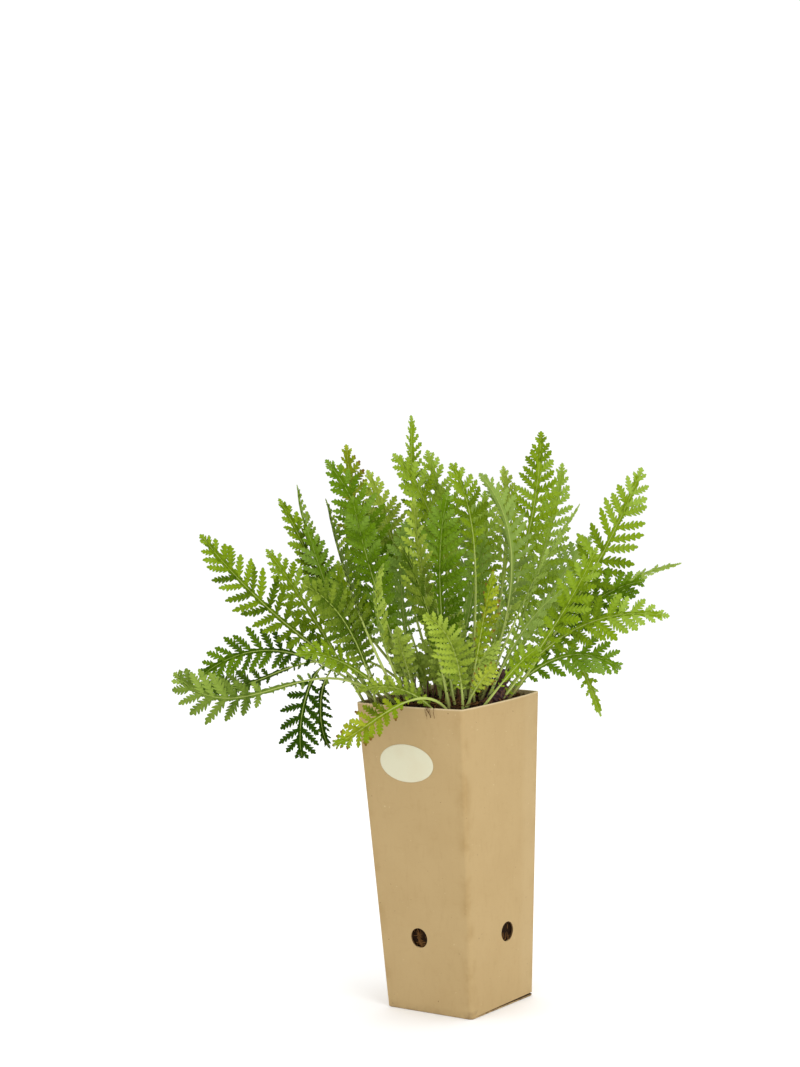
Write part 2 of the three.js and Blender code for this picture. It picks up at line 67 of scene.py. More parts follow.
for left_over in list(bpy.data.objects):
    bpy.data.objects.remove(left_over)

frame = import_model()

# The clump is described in millimetres, as it is seen from the pot's front fold
MM = 0.001
VIEW_TURN = math.radians(38)
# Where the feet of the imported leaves' stalks are, in metres: their height, how far above and below it, and
# how far from the pot's middle
ROOT_HEIGHT, ROOT_DEPTH, ROOT_REACH = 0.197, 0.0028, 0.0415
# How far each drain hole is off the middle of its side
DRAIN_OFFSETS = (-0.004, 0.005, 0.004, -0.005)
GOLDEN_ANGLE = math.radians(137.5)
CROWN_LEAVES, CRUMBS, SURFACE_ROOTS, HOLE_ROOTS, DRAPED_ROOTS = 26, 520, 70, 16, 6
SCALES, WITHERED_STUBS, HAIR_ROOTS = 26, 34, 60
# Degrees tried when the turn of a packed leaf's stalk is looked for
TURNS = np.arange(-10, 10.1, 2.5)
LEAF_MEASURES = ("upper", "margin", "reach", "vein", "along", "shade", "stalk")
VIEWER = np.array([0.0, -1.0, 0.0])
UP = np.array([0.0, 0.0, 1.0])

# Each leaf in the order of its nodes: points its rib passes after the root (right, towards the viewer,
# height), blade length, half width, facing in degrees, and tone, the painted light and shade of the leaf,
# from 0, in deep shade, to 1, in full light, pale with down and painted sheen
LEAVES = [
    ([[56, -8, 306], [71, -10, 390]], 98, 17, 5, 0.5),
    ([[62, -32, 280], [87, -40, 366]], 118, 17, 16, 0.8),
    ([[94, 5, 282], [138, 0, 363]], 118, 18, 12, 0.4),
    ([[-66, 10, 231], [-108, 22, 270], [-161, 32, 333]], 116, 17, 8, 0.2),
    ([[-84, 20, 231], [-136, 26, 222], [-184, 24, 240]], 92, 17, -12, 0.2),
    ([[-46, -6, 312], [-76, -8, 377]], 100, 17, 12, 0.4),
    ([[-16, -32, 308], [-16, -34, 404]], 92, 14, 48, 0.5),
    ([[84, 24, 256], [150, 30, 264]], 104, 15, 6, 0.4),
    ([[74, 14, 236], [118, 16, 226]], 74, 15, 8, 0.5),
    ([[86, 2, 262], [137, 4, 286]], 78, 15, 14, 0.3),
    ([[-4, 24, 285], [4, 20, 354]], 112, 18, 2, 0.4),
    ([[2, 56, 250], [-19, 68, 274]], 62, 15, -14, 0.4),
    ([[-20, 50, 218], [-50, 52, 204], [-79, 46, 186]], 58, 11, 8, 0.3),
    ([[-100, 12, 254], [-164, 14, 246]], 84, 14, 4, 0.2),
    ([[2, -14, 306], [-30, -12, 379]], 92, 16, 10, 0.6),
    ([[4, -20, 300], [-7, -22, 380]], 94, 16, 0, 0.7),
    ([[-44, 16, 284], [-59, 14, 353]], 98, 15, -16, 0.4),
    ([[50, 22, 296], [33, 26, 364]], 98, 16, 152, 0.4),
    ([[-47, 38, 272], [-40, 38, 308]], 66, 10, 66, 0.7),
    ([[-13, 46, 276], [-30, 42, 322]], 80, 14, -66, 0.0),
    ([[-50, -24, 304], [-61, -28, 386]], 84, 14, 14, 0.3),
    ([[-66, 34, 262], [-96, 64, 296]], 84, 17, 10, 0.0),
    ([[-92, 8, 276], [-119, 8, 319]], 86, 14, 6, 0.5),
    ([[-82, -8, 290], [-109, -12, 352]], 92, 13, 30, 0.3),
    ([[-72, 2, 278], [-86, -2, 334]], 78, 14, 12, 0.6),
    ([[22, 8, 308], [8, 8, 372]], 62, 15, 34, 0.4),
    ([[70, 34, 258], [102, 44, 314]], 98, 16, 14, 0.4),
    ([[102, -18, 268], [165, -20, 294]], 90, 9, 72, 0.7),
    ([[44, -30, 292], [47, -34, 366]], 82, 13, 22, 0.7),
    ([[28, -22, 290], [33, -26, 350]], 80, 13, 12, 0.7),
    ([[-12, 34, 288], [-18, 30, 351]], 94, 14, -36, 0.4),
    ([[-24, -20, 302], [-41, -22, 370]], 80, 14, 10, 0.4),
    ([[-62, 40, 278], [-82, 40, 351]], 84, 9, 68, -0.2),
    ([[-78, -44, 292], [-98, -54, 358]], 60, 8, 74, 0.6),
    ([[60, 32, 292], [93, 34, 342]], 86, 10, 82, 0.5),
    ([[24, 42, 262], [34, 44, 302]], 62, 10, 40, 0.4),
    ([[52, 44, 258], [82, 54, 288]], 70, 13, 118, 0.4),
    ([[74, -12, 238], [97, -14, 218], [106, -14, 187]], 68, 7, 12, 0.6),
    ([[-78, -8, 238], [-97, -12, 210], [-98, -16, 170]], 66, 14, 4, -0.3),
    ([[-82, -8, 238], [-130, -18, 226], [-180, -28, 222]], 76, 13, 16, 0.0),
    ([[-66, 34, 240], [-102, 62, 254]], 66, 12, 24, 0.4),
    ([[-30, 34, 221], [-63, 22, 219]], 56, 8, 10, 0.3),
    ([[20, 44, 224], [34, 46, 236]], 24, 8, 14, 0.9),
    ([[44, 40, 234], [62, 44, 248]], 36, 10, 24, 0.5),
    ([[-66, -42, 238], [-88, -46, 210], [-84, -44, 176]], 52, 8, 4, -0.1),
    ([[-34, -46, 290], [-42, -66, 346]], 92, 15, 160, 0.5),
    ([[20, -52, 288], [26, -76, 344]], 92, 15, 172, 0.5),
    ([[-52, -68, 262], [-92, -96, 288]], 92, 15, 150, 0.6),
    ([[44, -70, 262], [84, -102, 284]], 92, 15, 206, 0.9),
    ([[-6, -84, 260], [-14, -134, 270]], 92, 15, 180, -0.1),
    ([[70, -44, 266], [108, -70, 312]], 92, 15, 200, 0.8),
    ([[-34, -8, 282], [-32, -4, 334]], 84, 14, 20, 1.4),
    ([[14, -14, 268], [24, -18, 322]], 84, 14, -10, 0.8),
    ([[-60, 16, 268], [-66, 20, 312]], 72, 14, 14, 0.4),
    ([[60, -4, 250], [88, -10, 276]], 70, 13, 30, 1.2),
]

# Leaves that differ from the rest, by number: degrees that their halves fold up, leaflet spacing and breadth
# as shares of the usual, how much more painted light pales the tip than the foot, the share of the blade that
# stays bare at its foot, and the share at which it starts to narrow towards the tip
LOOKS = {
    "fold": {12: 44, 18: 60, 19: 34, 22: 28, 31: 34, 33: 48, 34: 48, 36: 40, 42: 40, 43: 36},
    "spacing": {
        1: 0.92, 3: 1.2, 5: 1.1, 8: 1.25, 9: 1.2, 10: 1.1, 11: 0.85, 12: 0.68, 17: 0.85, 18: 0.85,
        22: 0.75, 27: 1.1, 34: 1.15, 38: 1.9, 39: 1.2, 40: 1.2, 43: 0.8, 45: 1.3,
    },
    "slim": {7: 0.8, 11: 1.2, 12: 0.9, 13: 1.2, 17: 1.2, 38: 0.8, 39: 0.8, 45: 0.7},
    "tip": {1: -0.3, 2: 0.5, 3: 0.9, 7: 0.4, 8: 1.5, 22: 0.2, 39: -0.3},
    "bare": {5: 0.24, 8: 0.12, 27: 0.22, 37: 0.25, 39: 0.1, 40: 0.2, 41: 0.2, 44: 0.2},
    "taper": {1: 0.2, 2: 0.25, 3: 0.45, 4: 0.4, 5: 0.5, 7: 0.1, 8: 0.4, 9: 0.5, 10: 0.5, 14: 0.5, 39: 0.6},
}


def linear(code):
    """A colour given as a web code, as Blender's shaders want it."""
    parts = [int(code[i : i + 2], 16) / 255 for i in (0, 2, 4)]
    return [p / 12.92 if p <= 0.04045 else ((p + 0.055) / 1.055) ** 2.4 for p in parts]


def colour(code, name, description):
    return bpy.props.FloatVectorProperty(
        name=name, description=description, subtype="COLOR", size=3, min=0, max=1, default=linear(code)
    )


def length(default, name, description):
    return bpy.props.FloatProperty(
        name=name, description=description, default=default, min=0,
        subtype="DISTANCE", unit="LENGTH", precision=5,
    )


class YarrowSizes(bpy.types.PropertyGroup):
    """Sizes of the pot and the plant, in metres."""

    pot_top: length(0.090, "Rim width", "Outer width of the pot across the rim")
    pot_base: length(0.072, "Foot width", "Outer width of the pot across the foot")
    pot_height: length(0.212, "Pot height", "Height of the pot")
    card: length(0.0012, "Card thickness", "Thickness of the pot's card")
    fold_radius: length(0.0027, "Fold radius", "Outer radius of the pot's four folded edges")
    rim_bow: length(0.0026, "Rim bow", "How far the middle of each side bows out at the rim")
    drain_radius: length(0.0068, "Drain hole radius", "Radius of the four drain holes")
    drain_height: length(0.052, "Drain hole height", "Height of the drain holes over the foot")
    label_width: length(0.045, "Label width", "Width of the oval label")
    label_height: length(0.026, "Label height", "Height of the oval label")
    soil_height: length(0.208, "Compost height", "Height of the compost at the pot's wall")
    soil_mound: length(0.0025, "Compost mound", "How much higher the compost is in the middle")
    leaflet_pitch: length(0.0075, "Leaflet spacing", "Distance between neighbouring leaflets")
    leaf_thickness: length(0.00034, "Leaf thickness", "Thickness of a leaflet")
    stalk_width: length(0.0028, "Stalk width", "Width of a leaf stalk at its foot")


class YarrowColours(bpy.types.PropertyGroup):
    """Colours of the pot and the plant."""

    card: colour("b0976b", "Card", "Kraft card of the pot")
    card_fibre: colour("957848", "Card fibres", "Darker fibres and flecks in the card")
    card_edge: colour("c4b08a", "Cut card", "Cut edges and rubbed folds of the card")
    # The stain colour also paints the shade on the pot's inner wall
    stain: colour("4a2d16", "Stain", "Bark flecks in the card and damp stains at its foot")
    label: colour("cdc9ad", "Label", "Paper of the label")
    soil: colour("21140a", "Compost", "Moist compost")
    soil_dry: colour("493219", "Dry compost", "Dry crumbs and bark on the compost")
    root: colour("74512c", "Roots", "Fine roots")
    rootstock: colour("3a2226", "Rootstock", "Woody rootstock")
    rootstock_bud: colour("5d3d34", "Rootstock scars", "Scars and dry scales on the rootstock")
    dry_stub: colour("8a5f38", "Withered stubs", "Withered feet of last year's stalks")
    leaf: colour("738c10", "Leaf", "Upper side of a grown leaf")
    young_leaf: colour("8fa233", "Young leaf", "Upper side of a young leaf")
    deep_leaf: colour("5a7908", "Deep leaf", "Upper side of an old, shaded leaf")
    pale_leaf: colour("7f953a", "Pale leaf", "Upper side of a leaf pale with down")
    yellow_leaf: colour("8f9a1c", "Yellow leaf", "Upper side of a yellowing leaf")
    # The down colour is partly painted sheen: it greys the leaves where the painted light is full
    down: colour("a9bd72", "Down", "Fine pale down that greys the leaves in full light")
    underside: colour("849c47", "Underside", "Downy underside of the leaves")
    rib: colour("aab766", "Rib", "Ribs and leaf stalks")
    stalk_foot: colour("6b5240", "Stalk foot", "Leaf stalks where they leave the compost")
    withered: colour("6f5320", "Withered tip", "Withered tips of the yellow leaves")


class Build:
    """A material under construction: its nodes and links."""

    def __init__(self, name):
        self.material = bpy.data.materials.new(name)
        self.material.use_nodes = True
        self.tree = self.material.node_tree
        self.shader = self.tree.nodes["Principled BSDF"]

    def node(self, kind, settings=None, inputs=None, output=0):
        """Adds a node of a type with its settings and the values or links of its sockets."""
        made = self.tree.nodes.new(kind)
        for key, value in (settings or {}).items():
            if key == "stops":
                ramp = made.color_ramp
                while len(ramp.elements) < len(value):
                    ramp.elements.new(1)
                for element, (position, shade) in zip(ramp.elements, value):
                    element.position = position
                    element.color = (*shade, 1) if len(shade) == 3 else shade
            else:
                setattr(made, key, value)
        for key, value in (inputs or {}).items():
            self.put(made.inputs[key], value)
        return Field(self, made.outputs[output])

    def put(self, socket, value):
        """Links a field to a socket, or sets the socket to a value."""
        if isinstance(value, Field):
            self.tree.links.new(value.socket, socket)
        elif socket.type == "RGBA" and len(value) == 3:
            socket.default_value = (*value, 1)
        else:
            socket.default_value = value

    def noise(self, scale, detail=4, stretch=(1, 1, 1)):
        """Noise that stays with the object, stretched along its axes."""
        spot = self.node("ShaderNodeTexCoord", None, None, 3)
        place = self.node("ShaderNodeMapping", None, {"Vector": spot, "Scale": stretch})
        values = {"Vector": place, "Scale": scale, "Detail": detail, "Roughness": 0.55}
        return self.node("ShaderNodeTexNoise", None, values)

    def measure(self, name):
        """A number that the mesh carries at each of its points."""
        return self.node("ShaderNodeAttribute", {"attribute_name": name}, None, 2)

    def blend(self, factor, first, second, how="MIX"):
        """One colour turning into another."""
        made = self.tree.nodes.new("ShaderNodeMix")
        made.data_type, made.blend_type = "RGBA", how
        for socket, value in zip((made.inputs[0], made.inputs[6], made.inputs[7]), (factor, first, second)):
            self.put(socket, value)
        return Field(self, made.outputs[2])

    def band(self, value, low, high):
        """0 below low, 1 above high, smooth between."""
        return self.node(
            "ShaderNodeMapRange", {"interpolation_type": "SMOOTHSTEP"},
            {"Value": value, "From Min": low, "From Max": high},
        )

    def bump(self, height, strength, distance):
        values = {"Height": height, "Strength": strength, "Distance": distance}
        return self.node("ShaderNodeBump", None, values)

    def finish(self, base, roughness, normal=None, **constants):
        """Sets the surface: what varies is linked, the rest is set on the shader's own sockets."""
        self.put(self.shader.inputs["Base Color"], base)
        self.put(self.shader.inputs["Roughness"], roughness)
        if normal is not None:
            self.put(self.shader.inputs["Normal"], normal)
        for key, value in constants.items():
            self.shader.inputs[key.replace("_", " ")].default_value = value
        return self.material


class Field:
    """A socket of a material, with the operators of arithmetic on its value."""

    def __init__(self, build, socket):
        self.build, self.socket = build, socket

    def _maths(self, operation, first, second):
        made = self.build.tree.nodes.new("ShaderNodeMath")
        made.operation = operation
        for socket, value in zip(made.inputs, (first, second)):
            self.build.put(socket, value)
        return Field(self.build, made.outputs[0])

    def __add__(self, other):
        return self._maths("ADD", self, other)

    def __sub__(self, other):
        return self._maths("SUBTRACT", self, other)

    def __rsub__(self, other):
        return self._maths("SUBTRACT", other, self)

    def __mul__(self, other):
        return self._maths("MULTIPLY", self, other)

    __radd__ = __add__
    __rmul__ = __mul__


def card_material():
    tint = bpy.context.scene.yarrow_colours
    card = Build("kraft card")
    clouds = card.noise(26, 5)
    fibres = card.noise(340, 3, (1, 1, 0.3))
    strands = card.noise(420, 2, (0.4, 0.4, 1))
    flecks = card.band(card.noise(430, 2), 0.745, 0.77)
    pale_flecks = card.band(card.noise(380, 2, (1.3, 0.9, 1)), 0.735, 0.76)
    shade = card.band(clouds, 0.3, 0.75) * 0.16 + card.band(fibres, 0.5, 0.75) * 0.1
    base = card.blend(shade + card.band(strands, 0.55, 0.75) * 0.08, tint.card, tint.card_fibre)
    base = card.blend(flecks * 0.6, base, tint.stain)
    base = card.blend(pale_flecks * 0.6, base, tint.card_edge)
    rubbed = card.measure("fold") * card.band(card.noise(55, 4), 0.42, 0.7)
    base = card.blend(rubbed * 0.4, base, tint.card_fibre)
    worn = card.measure("cut") * (0.55 + 0.45 * card.band(clouds, 0.35, 0.6))
    base = card.blend(worn, base, tint.card_edge)
    # Damp stains at the foot, and painted shade over the pot's inner wall, both in the stain colour
    damp = card.measure("damp") * card.band(card.noise(130, 4), 0.35, 0.65)
    base = card.blend(damp, base, tint.stain)
    # Faces on the edges of the drain holes and of the slit at the foot are darkened towards the stain colour
    base = card.blend(card.measure("torn") * 0.85, base, tint.stain)
    base = card.blend(card.measure("seam") * 0.12, base, tint.card_edge)
    relief = card.bump(fibres * 0.6 + strands * 0.4 + card.noise(60, 3) * 1.2, 0.2, 0.0003)
    return card.finish(base, 0.86 - 0.1 * clouds, relief, Specular_IOR_Level=0.2)


def label_material():
    tint = bpy.context.scene.yarrow_colours
    paper = Build("label paper")
    grain = paper.noise(500, 3)
    base = paper.blend(paper.band(paper.noise(60, 4), 0.35, 0.8) * 0.22, tint.label, tint.card_edge)
    return paper.finish(base, 0.55 + 0.2 * grain, paper.bump(grain, 0.12, 0.0002), Specular_IOR_Level=0.35)


def compost_material():
    tint = bpy.context.scene.yarrow_colours
    soil = Build("compost")
    crumbs = soil.noise(420, 5)
    dry = soil.band(soil.noise(150, 4), 0.5, 0.72) * 0.55 + soil.band(crumbs, 0.6, 0.75) * 0.4
    base = soil.blend(dry, tint.soil, tint.soil_dry)
    base = soil.blend(soil.measure("root"), base, tint.root)
    return soil.finish(base, 0.92 - 0.14 * crumbs, soil.bump(crumbs, 0.8, 0.0012), Specular_IOR_Level=0.06)


def rootstock_material():
    tint = bpy.context.scene.yarrow_colours
    wood = Build("woody rootstock")
    rings = wood.noise(120, 4, (1, 1, 2.4))
    base = wood.blend(wood.band(rings, 0.45, 0.75), tint.rootstock, tint.rootstock_bud)
    base = wood.blend(wood.band(wood.noise(500, 3), 0.6, 0.7) * 0.6, base, tint.soil)
    base = wood.blend(wood.measure("dry") * wood.band(rings, 0.2, 0.6), base, tint.dry_stub)
    return wood.finish(base, 0.7, wood.bump(rings, 0.7, 0.0015), Specular_IOR_Level=0.3)


def leaf_material(kind):
    """Upper side in painted light and shade from the leaf's tone, downy underside with painted shade, paler
    ribs, and margins lightened by down and painted sheen, from what the leaf's mesh carries.
    """
    tint = bpy.context.scene.yarrow_colours
    leaf = Build(kind.replace("_", " "))
    upper, margin, reach, vein, along, shade, stalk = (leaf.measure(name) for name in LEAF_MEASURES)
    mottle = leaf.noise(260, 4)
    own, down = getattr(tint, kind), tint.down
    # Painted light and shade: deep is the colour in deep shade, light the colour in full light, greyed with
    # down and painted sheen
    deep = [own[0] * 0.2, own[1] * 0.28, own[2] * 0.1]
    light = [0.95 * o + 0.26 * d for o, d in zip(own, down)]
    # lit is the painted light level: the leaf's tone, slow patches of painted light and shade over the clump,
    # random mottling, and a little lighter towards each leaflet's end
    lit = shade + (leaf.noise(34, 2) - 0.5) * 0.5 + (mottle - 0.5) * 0.5 + reach * 0.12
    base = leaf.node("ShaderNodeValToRGB", {"stops": [(0, deep), (0.5, own), (1, light)]}, {"Fac": lit})
    # Margins lightened towards the full-light colour: pale down and painted sheen
    base = leaf.blend(leaf.band(margin, 0.75, 1.0) * 0.2, base, light)
    # Pale middles along each leaflet, stronger on leaves with more painted light
    base = leaf.blend((1 - leaf.band(margin, 0.0, 0.22)) * leaf.band(shade, -0.2, 0.9) * 0.3, base, light)
    base = leaf.blend(leaf.band(vein, 0.8, 1.0) * (1 - margin) * 0.2, base, light)
    # Painted shade on the downy underside: darker where the painted light is low
    under = [0.42 * c for c in tint.underside]
    under = leaf.blend(leaf.band(lit, 0.0, 0.6), under, tint.underside)
    base = leaf.blend(1 - upper, base, under)
    if kind == "yellow_leaf":
        base = leaf.blend(leaf.band(leaf.noise(45, 2), 0.4, 0.6) * 0.8, base, tint.leaf)
        withered = leaf.band(reach, 0.72, 0.95) * leaf.band(leaf.noise(90, 2), 0.44, 0.54)
        base = leaf.blend(withered, base, tint.withered)
    foot = leaf.blend(leaf.band(along, -1, -0.4), tint.stalk_foot, tint.rib)
    base = leaf.blend(stalk * 0.85, base, foot)
    hairs = leaf.noise(2600, 2)
    relief = leaf.bump(mottle * 0.6 + hairs * 0.5 + margin * 0.4 - vein * 0.3, 0.5, 0.0003)
    return leaf.finish(base, 0.62 + 0.16 * hairs, relief, Specular_IOR_Level=0.03)


def add_object(name, points, faces, material=None):
    """Puts a mesh in metres into the scene."""
    mesh = bpy.data.meshes.new(name)
    mesh.from_pydata(np.asarray(points).tolist(), [], faces)
    if material:
        mesh.materials.append(material)
    made = bpy.data.objects.new(name, mesh)
    bpy.context.scene.collection.objects.link(made)
    return made


def piece(name, points, faces, material, slot, measures, sharp, nodes):
    """Makes a mesh that carries its measures, and rides it on the pot in place of its nodes."""
    made = add_object(name, points, faces, material)
    for key, values in measures.items():
        carried = made.data.attributes.new(key, "FLOAT", "POINT")
        carried.data.foreach_set("value", np.asarray(values, np.float32))
    made.data.shade_smooth()
    made.data.set_sharp_from_angle(angle=math.radians(sharp))
    made.data.update()
    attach(made, "root")
    if nodes:
        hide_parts(*nodes)
    return made


class Shape:
    """Points, faces and measures gathered from many small forms into one mesh."""

    def __init__(self, keys):
        self.points, self.faces, self.count = [], [], 0
        self.measures = {key: [] for key in keys}

    def add(self, points, faces, **measures):
        points = np.asarray(points, float).reshape(-1, 3)
        self.points.append(points)
        self.faces += [tuple(int(i) + self.count for i in face) for face in faces]
        for key, kept in self.measures.items():
            kept.append(np.broadcast_to(measures.get(key, 0.0), len(points)))
        self.count += len(points)

    def make(self, name, material, slot, sharp, nodes=()):
        measures = {key: np.concatenate(kept) for key, kept in self.measures.items()}
        return piece(name, np.concatenate(self.points), self.faces, material, slot, measures, sharp, nodes)


def grid_faces(rows, columns, start=0, closed=False, flip=False):
    """Quads between neighbouring rows of a grid of points."""
    faces = []
    for r in range(rows - 1):
        for c in range(columns if closed else columns - 1):
            a, b = start + r * columns + c, start + r * columns + (c + 1) % columns
            quad = (a, b, b + columns, a + columns)
            faces.append(quad[::-1] if flip else quad)
    return faces


def skin_faces(rows, columns, flip=False):
    """Quads round a stack of closed rings, and one face over each end."""
    first, last = tuple(range(columns)), tuple(range((rows - 1) * columns, rows * columns))
    ends = [first, last[::-1]] if flip else [first[::-1], last]
    return grid_faces(rows, columns, closed=True, flip=flip) + ends


def unit(vectors):
    return vectors / np.maximum(np.linalg.norm(vectors, axis=-1, keepdims=True), 1e-12)


def add_blade(shape, grid, towards, half, **measures):
    """Adds a grid of points as a thin closed blade whose upper side faces a direction."""
    rows, columns = grid.shape[:2]
    normal = unit(np.cross(np.gradient(grid, axis=0), np.gradient(grid, axis=1)))
    flip = (normal.reshape(-1, 3) @ towards).mean() < 0
    normal = -normal if flip else normal
    count = rows * columns
    faces = grid_faces(rows, columns, 0, False, not flip) + grid_faces(rows, columns, count, False, flip)
    ring = [*range(columns), *range(2 * columns - 1, count, columns)]
    ring += [*range(count - 2, count - columns - 1, -1), *range(count - 2 * columns, 0, -columns)]
    for a, b in zip(ring, ring[1:] + ring[:1]):
        faces.append((a, b, b + count, a + count)[:: -1 if flip else 1])
    both = {"upper": np.repeat([1.0, 0.0], count)}
    for key, value in measures.items():
        both[key] = np.tile(np.broadcast_to(value, (rows, columns)).ravel(), 2)
    shape.add(np.concatenate([grid + normal * half, grid - normal * half]), faces, **both)


def places_on(line, marks, places):
    """Points at some places along a line whose own points stand at the marks."""
    return np.stack([np.interp(places, marks, line[:, k]) for k in range(3)], -1)


def tube(centres, radii, sides, flat=1.0):
    """Rings of points round a line, with its faces, closed at both ends."""
    centres = np.asarray(centres, float)
    along = unit(np.gradient(centres, axis=0))
    across = unit(np.cross(along, UP if abs(along[0] @ UP) < 0.9 else np.array([1.0, 0, 0])))
    other = np.cross(along, across)
    angle = np.linspace(0, 2 * math.pi, sides, endpoint=False)
    radii = np.broadcast_to(radii, len(centres))[:, None, None]
    rings = centres[:, None] + radii * (
        across[:, None] * np.cos(angle)[:, None] + flat * other[:, None] * np.sin(angle)[:, None]
    )
    return rings.reshape(-1, 3), skin_faces(len(centres), sides)


def turned(points, degrees_round, degrees_up, lean):
    """Points turned about the origin: up or down along the lean, then round the upright axis."""
    hinge = unit(np.array([lean[1], -lean[0], 0.0]))
    spin = Matrix.Rotation(math.radians(degrees_round), 3, UP)
    lift = Matrix.Rotation(math.radians(degrees_up), 3, hinge)
    return points @ np.array(spin @ lift).T


class Rib:
    """The smooth line that a leaf's stalk and rib follow, in the clump's own millimetres."""

    SAMPLES = 240
    MIN_STALK = 15

    def __init__(self, points, blade, facing):
        shares = np.linspace(0, 1, self.SAMPLES + 1)
        last = len(points) - 1
        self.line = np.zeros((len(shares), 3))
        for i, point in enumerate(points):
            weight = np.ones_like(shares)
            for j in range(last + 1):
                if j != i:
                    weight *= (shares * last - j) / (i - j)
            self.line += weight[:, None] * point
        steps = np.linalg.norm(np.diff(self.line, axis=0), axis=1)
        self.lengths = np.concatenate([[0], np.cumsum(steps)])
        self.length = self.lengths[-1]
        self.start = max(self.length - blade, self.MIN_STALK)
        self.facing = math.radians(facing)

    def at(self, distance):
        return places_on(self.line, self.lengths, np.clip(distance, 0, self.length))

    def frames(self, distance):
        """Directions along the rib, of its upper side, and to the side, as in the CAD leaves."""
        distance = np.atleast_1d(distance)
        along = unit(self.at(distance + 1) - self.at(distance - 1))
        towards = VIEWER + 0.35 * UP
        up = unit(towards - (along @ towards)[:, None] * along)
        up = up * math.cos(self.facing) + np.cross(along, up) * math.sin(self.facing)
        return along, up, np.cross(along, up)

    def frame_at(self, distance):
        """The same directions at one place."""
        return (directions[0] for directions in self.frames(distance))


def as_seen(points):
    """Points in metres in the pot's frame, given in the clump's own millimetres."""
    c, s = math.cos(VIEW_TURN), math.sin(VIEW_TURN)
    x, y, z = np.asarray(points).T / MM
    return np.stack([c * x + s * y, -s * x + c * y, z], -1)


def to_pot(points):
    """Points in the clump's own millimetres, given in metres in the pot's frame."""
    c, s = math.cos(VIEW_TURN), math.sin(VIEW_TURN)
    x, y, z = np.asarray(points).reshape(-1, 3).T * MM
    return np.stack([c * x - s * y, s * x + c * y, z], -1)


def packed_rib(node, path, blade, facing):
    """The rib of a packed leaf: its root is found in the node, then the turn that its stalk was given."""
    found = np.array([v.co for v in frame["nodes"][node].data.vertices])
    foot = (np.abs(found[:, :2]) < ROOT_REACH).all(1) & (np.abs(found[:, 2] - ROOT_HEIGHT) < ROOT_DEPTH)
    root = as_seen(found[foot]).mean(0)
    found = as_seen(found)
    path = np.array([[right, -towards, z] for right, towards, z in path], float)
    best = None
    for turn in TURNS:
        for lift in TURNS:
            moved = turned(path - root, turn, lift, path[-1] - root) + root
            rib = Rib(np.vstack([root, moved]), blade, facing)
            marks = rib.at(np.array([rib.start / 3, rib.start * 2 / 3, rib.start, rib.length]))
            miss = np.linalg.norm(found[:, None] - marks, axis=2).min(0).mean()
            if best is None or miss < best[0]:
                best = (miss, rib)
    return best[1]


class YARROW_OT_leaves(bpy.types.Operator):
    """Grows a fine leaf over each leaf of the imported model"""

    bl_idname = "yarrow.leaves"
    bl_label = "Leaves"

    def execute(self, context):
        slots = {part["node"]: part["material_slot"] for part in frame["record"]["subparts"]}
        materials = {kind: leaf_material(kind) for kind in sorted(set(slots.values())) if "leaf" in kind}
        for number, (path, blade, width, facing, tone) in enumerate(LEAVES, 1):
            node = f"frond_{number:02d}"
            rib = packed_rib(node, path, blade, facing)
            leaf = Shape(LEAF_MEASURES)
            look = {key: leaves[number] for key, leaves in LOOKS.items() if number in leaves}
            grow_leaf(leaf, rib, width, np.random.default_rng(400 + number), tone, **look)
            leaf.make(f"leaf_{number:02d}", materials[slots[node]], slots[node], 50, (node,))
        return {"FINISHED"}


class YARROW_OT_crown_leaves(bpy.types.Operator):
    """Grows the small new leaves that fill the crown between the stalks"""

    bl_idname = "yarrow.crown_leaves"
    bl_label = "Small crown leaves"

    def execute(self, context):
        random = np.random.default_rng(31)
        shape = Shape(LEAF_MEASURES)
        for number in range(CROWN_LEAVES):
            angle = number * GOLDEN_ANGLE
            outward = np.array([math.cos(angle), math.sin(angle), 0.0])
            start = outward * [30, 26, 0] * math.sqrt((number + 0.5) / CROWN_LEAVES) + UP * 203
            rise, lean = random.uniform(34, 72), random.uniform(6, 26)
            sway = np.cross(UP, outward) * random.uniform(-8, 8)
            middle = start + outward * lean * 0.35 + UP * rise * 0.6 + sway
            path = np.array([start, middle, start + outward * lean + UP * rise])
            rib = Rib(path, rise * random.uniform(0.6, 0.8), random.uniform(-60, 60))
            width, tone, fold = random.uniform(7, 11), random.uniform(0.6, 1.1), random.uniform(20, 45)
            grow_leaf(shape, rib, width, random, tone, fold)
        shape.make("crown_leaves", leaf_material("young_leaf"), "young_leaf", 50)
        return {"FINISHED"}


# Along one lobe of a leaflet: share of the lobe, breadth there, and nearness to the lobe's middle
LOBE = ((0.0, 0.3, 0.0), (0.24, 0.66, 0.2), (0.5, 0.94, 0.7), (0.7, 1.0, 1.0), (0.9, 0.74, 0.6))


def blade_outline(share, bare, taper):
    """How far the leaflets reach along the blade, as a share of the widest."""
    rise = 0.3 + 0.7 * min(1, max(0, share - bare) / 0.36) ** 0.85 if share > bare else 0.14
    return rise * (1 - 0.84 * (max(0, share - taper) / (1 - taper)) ** 1.5)


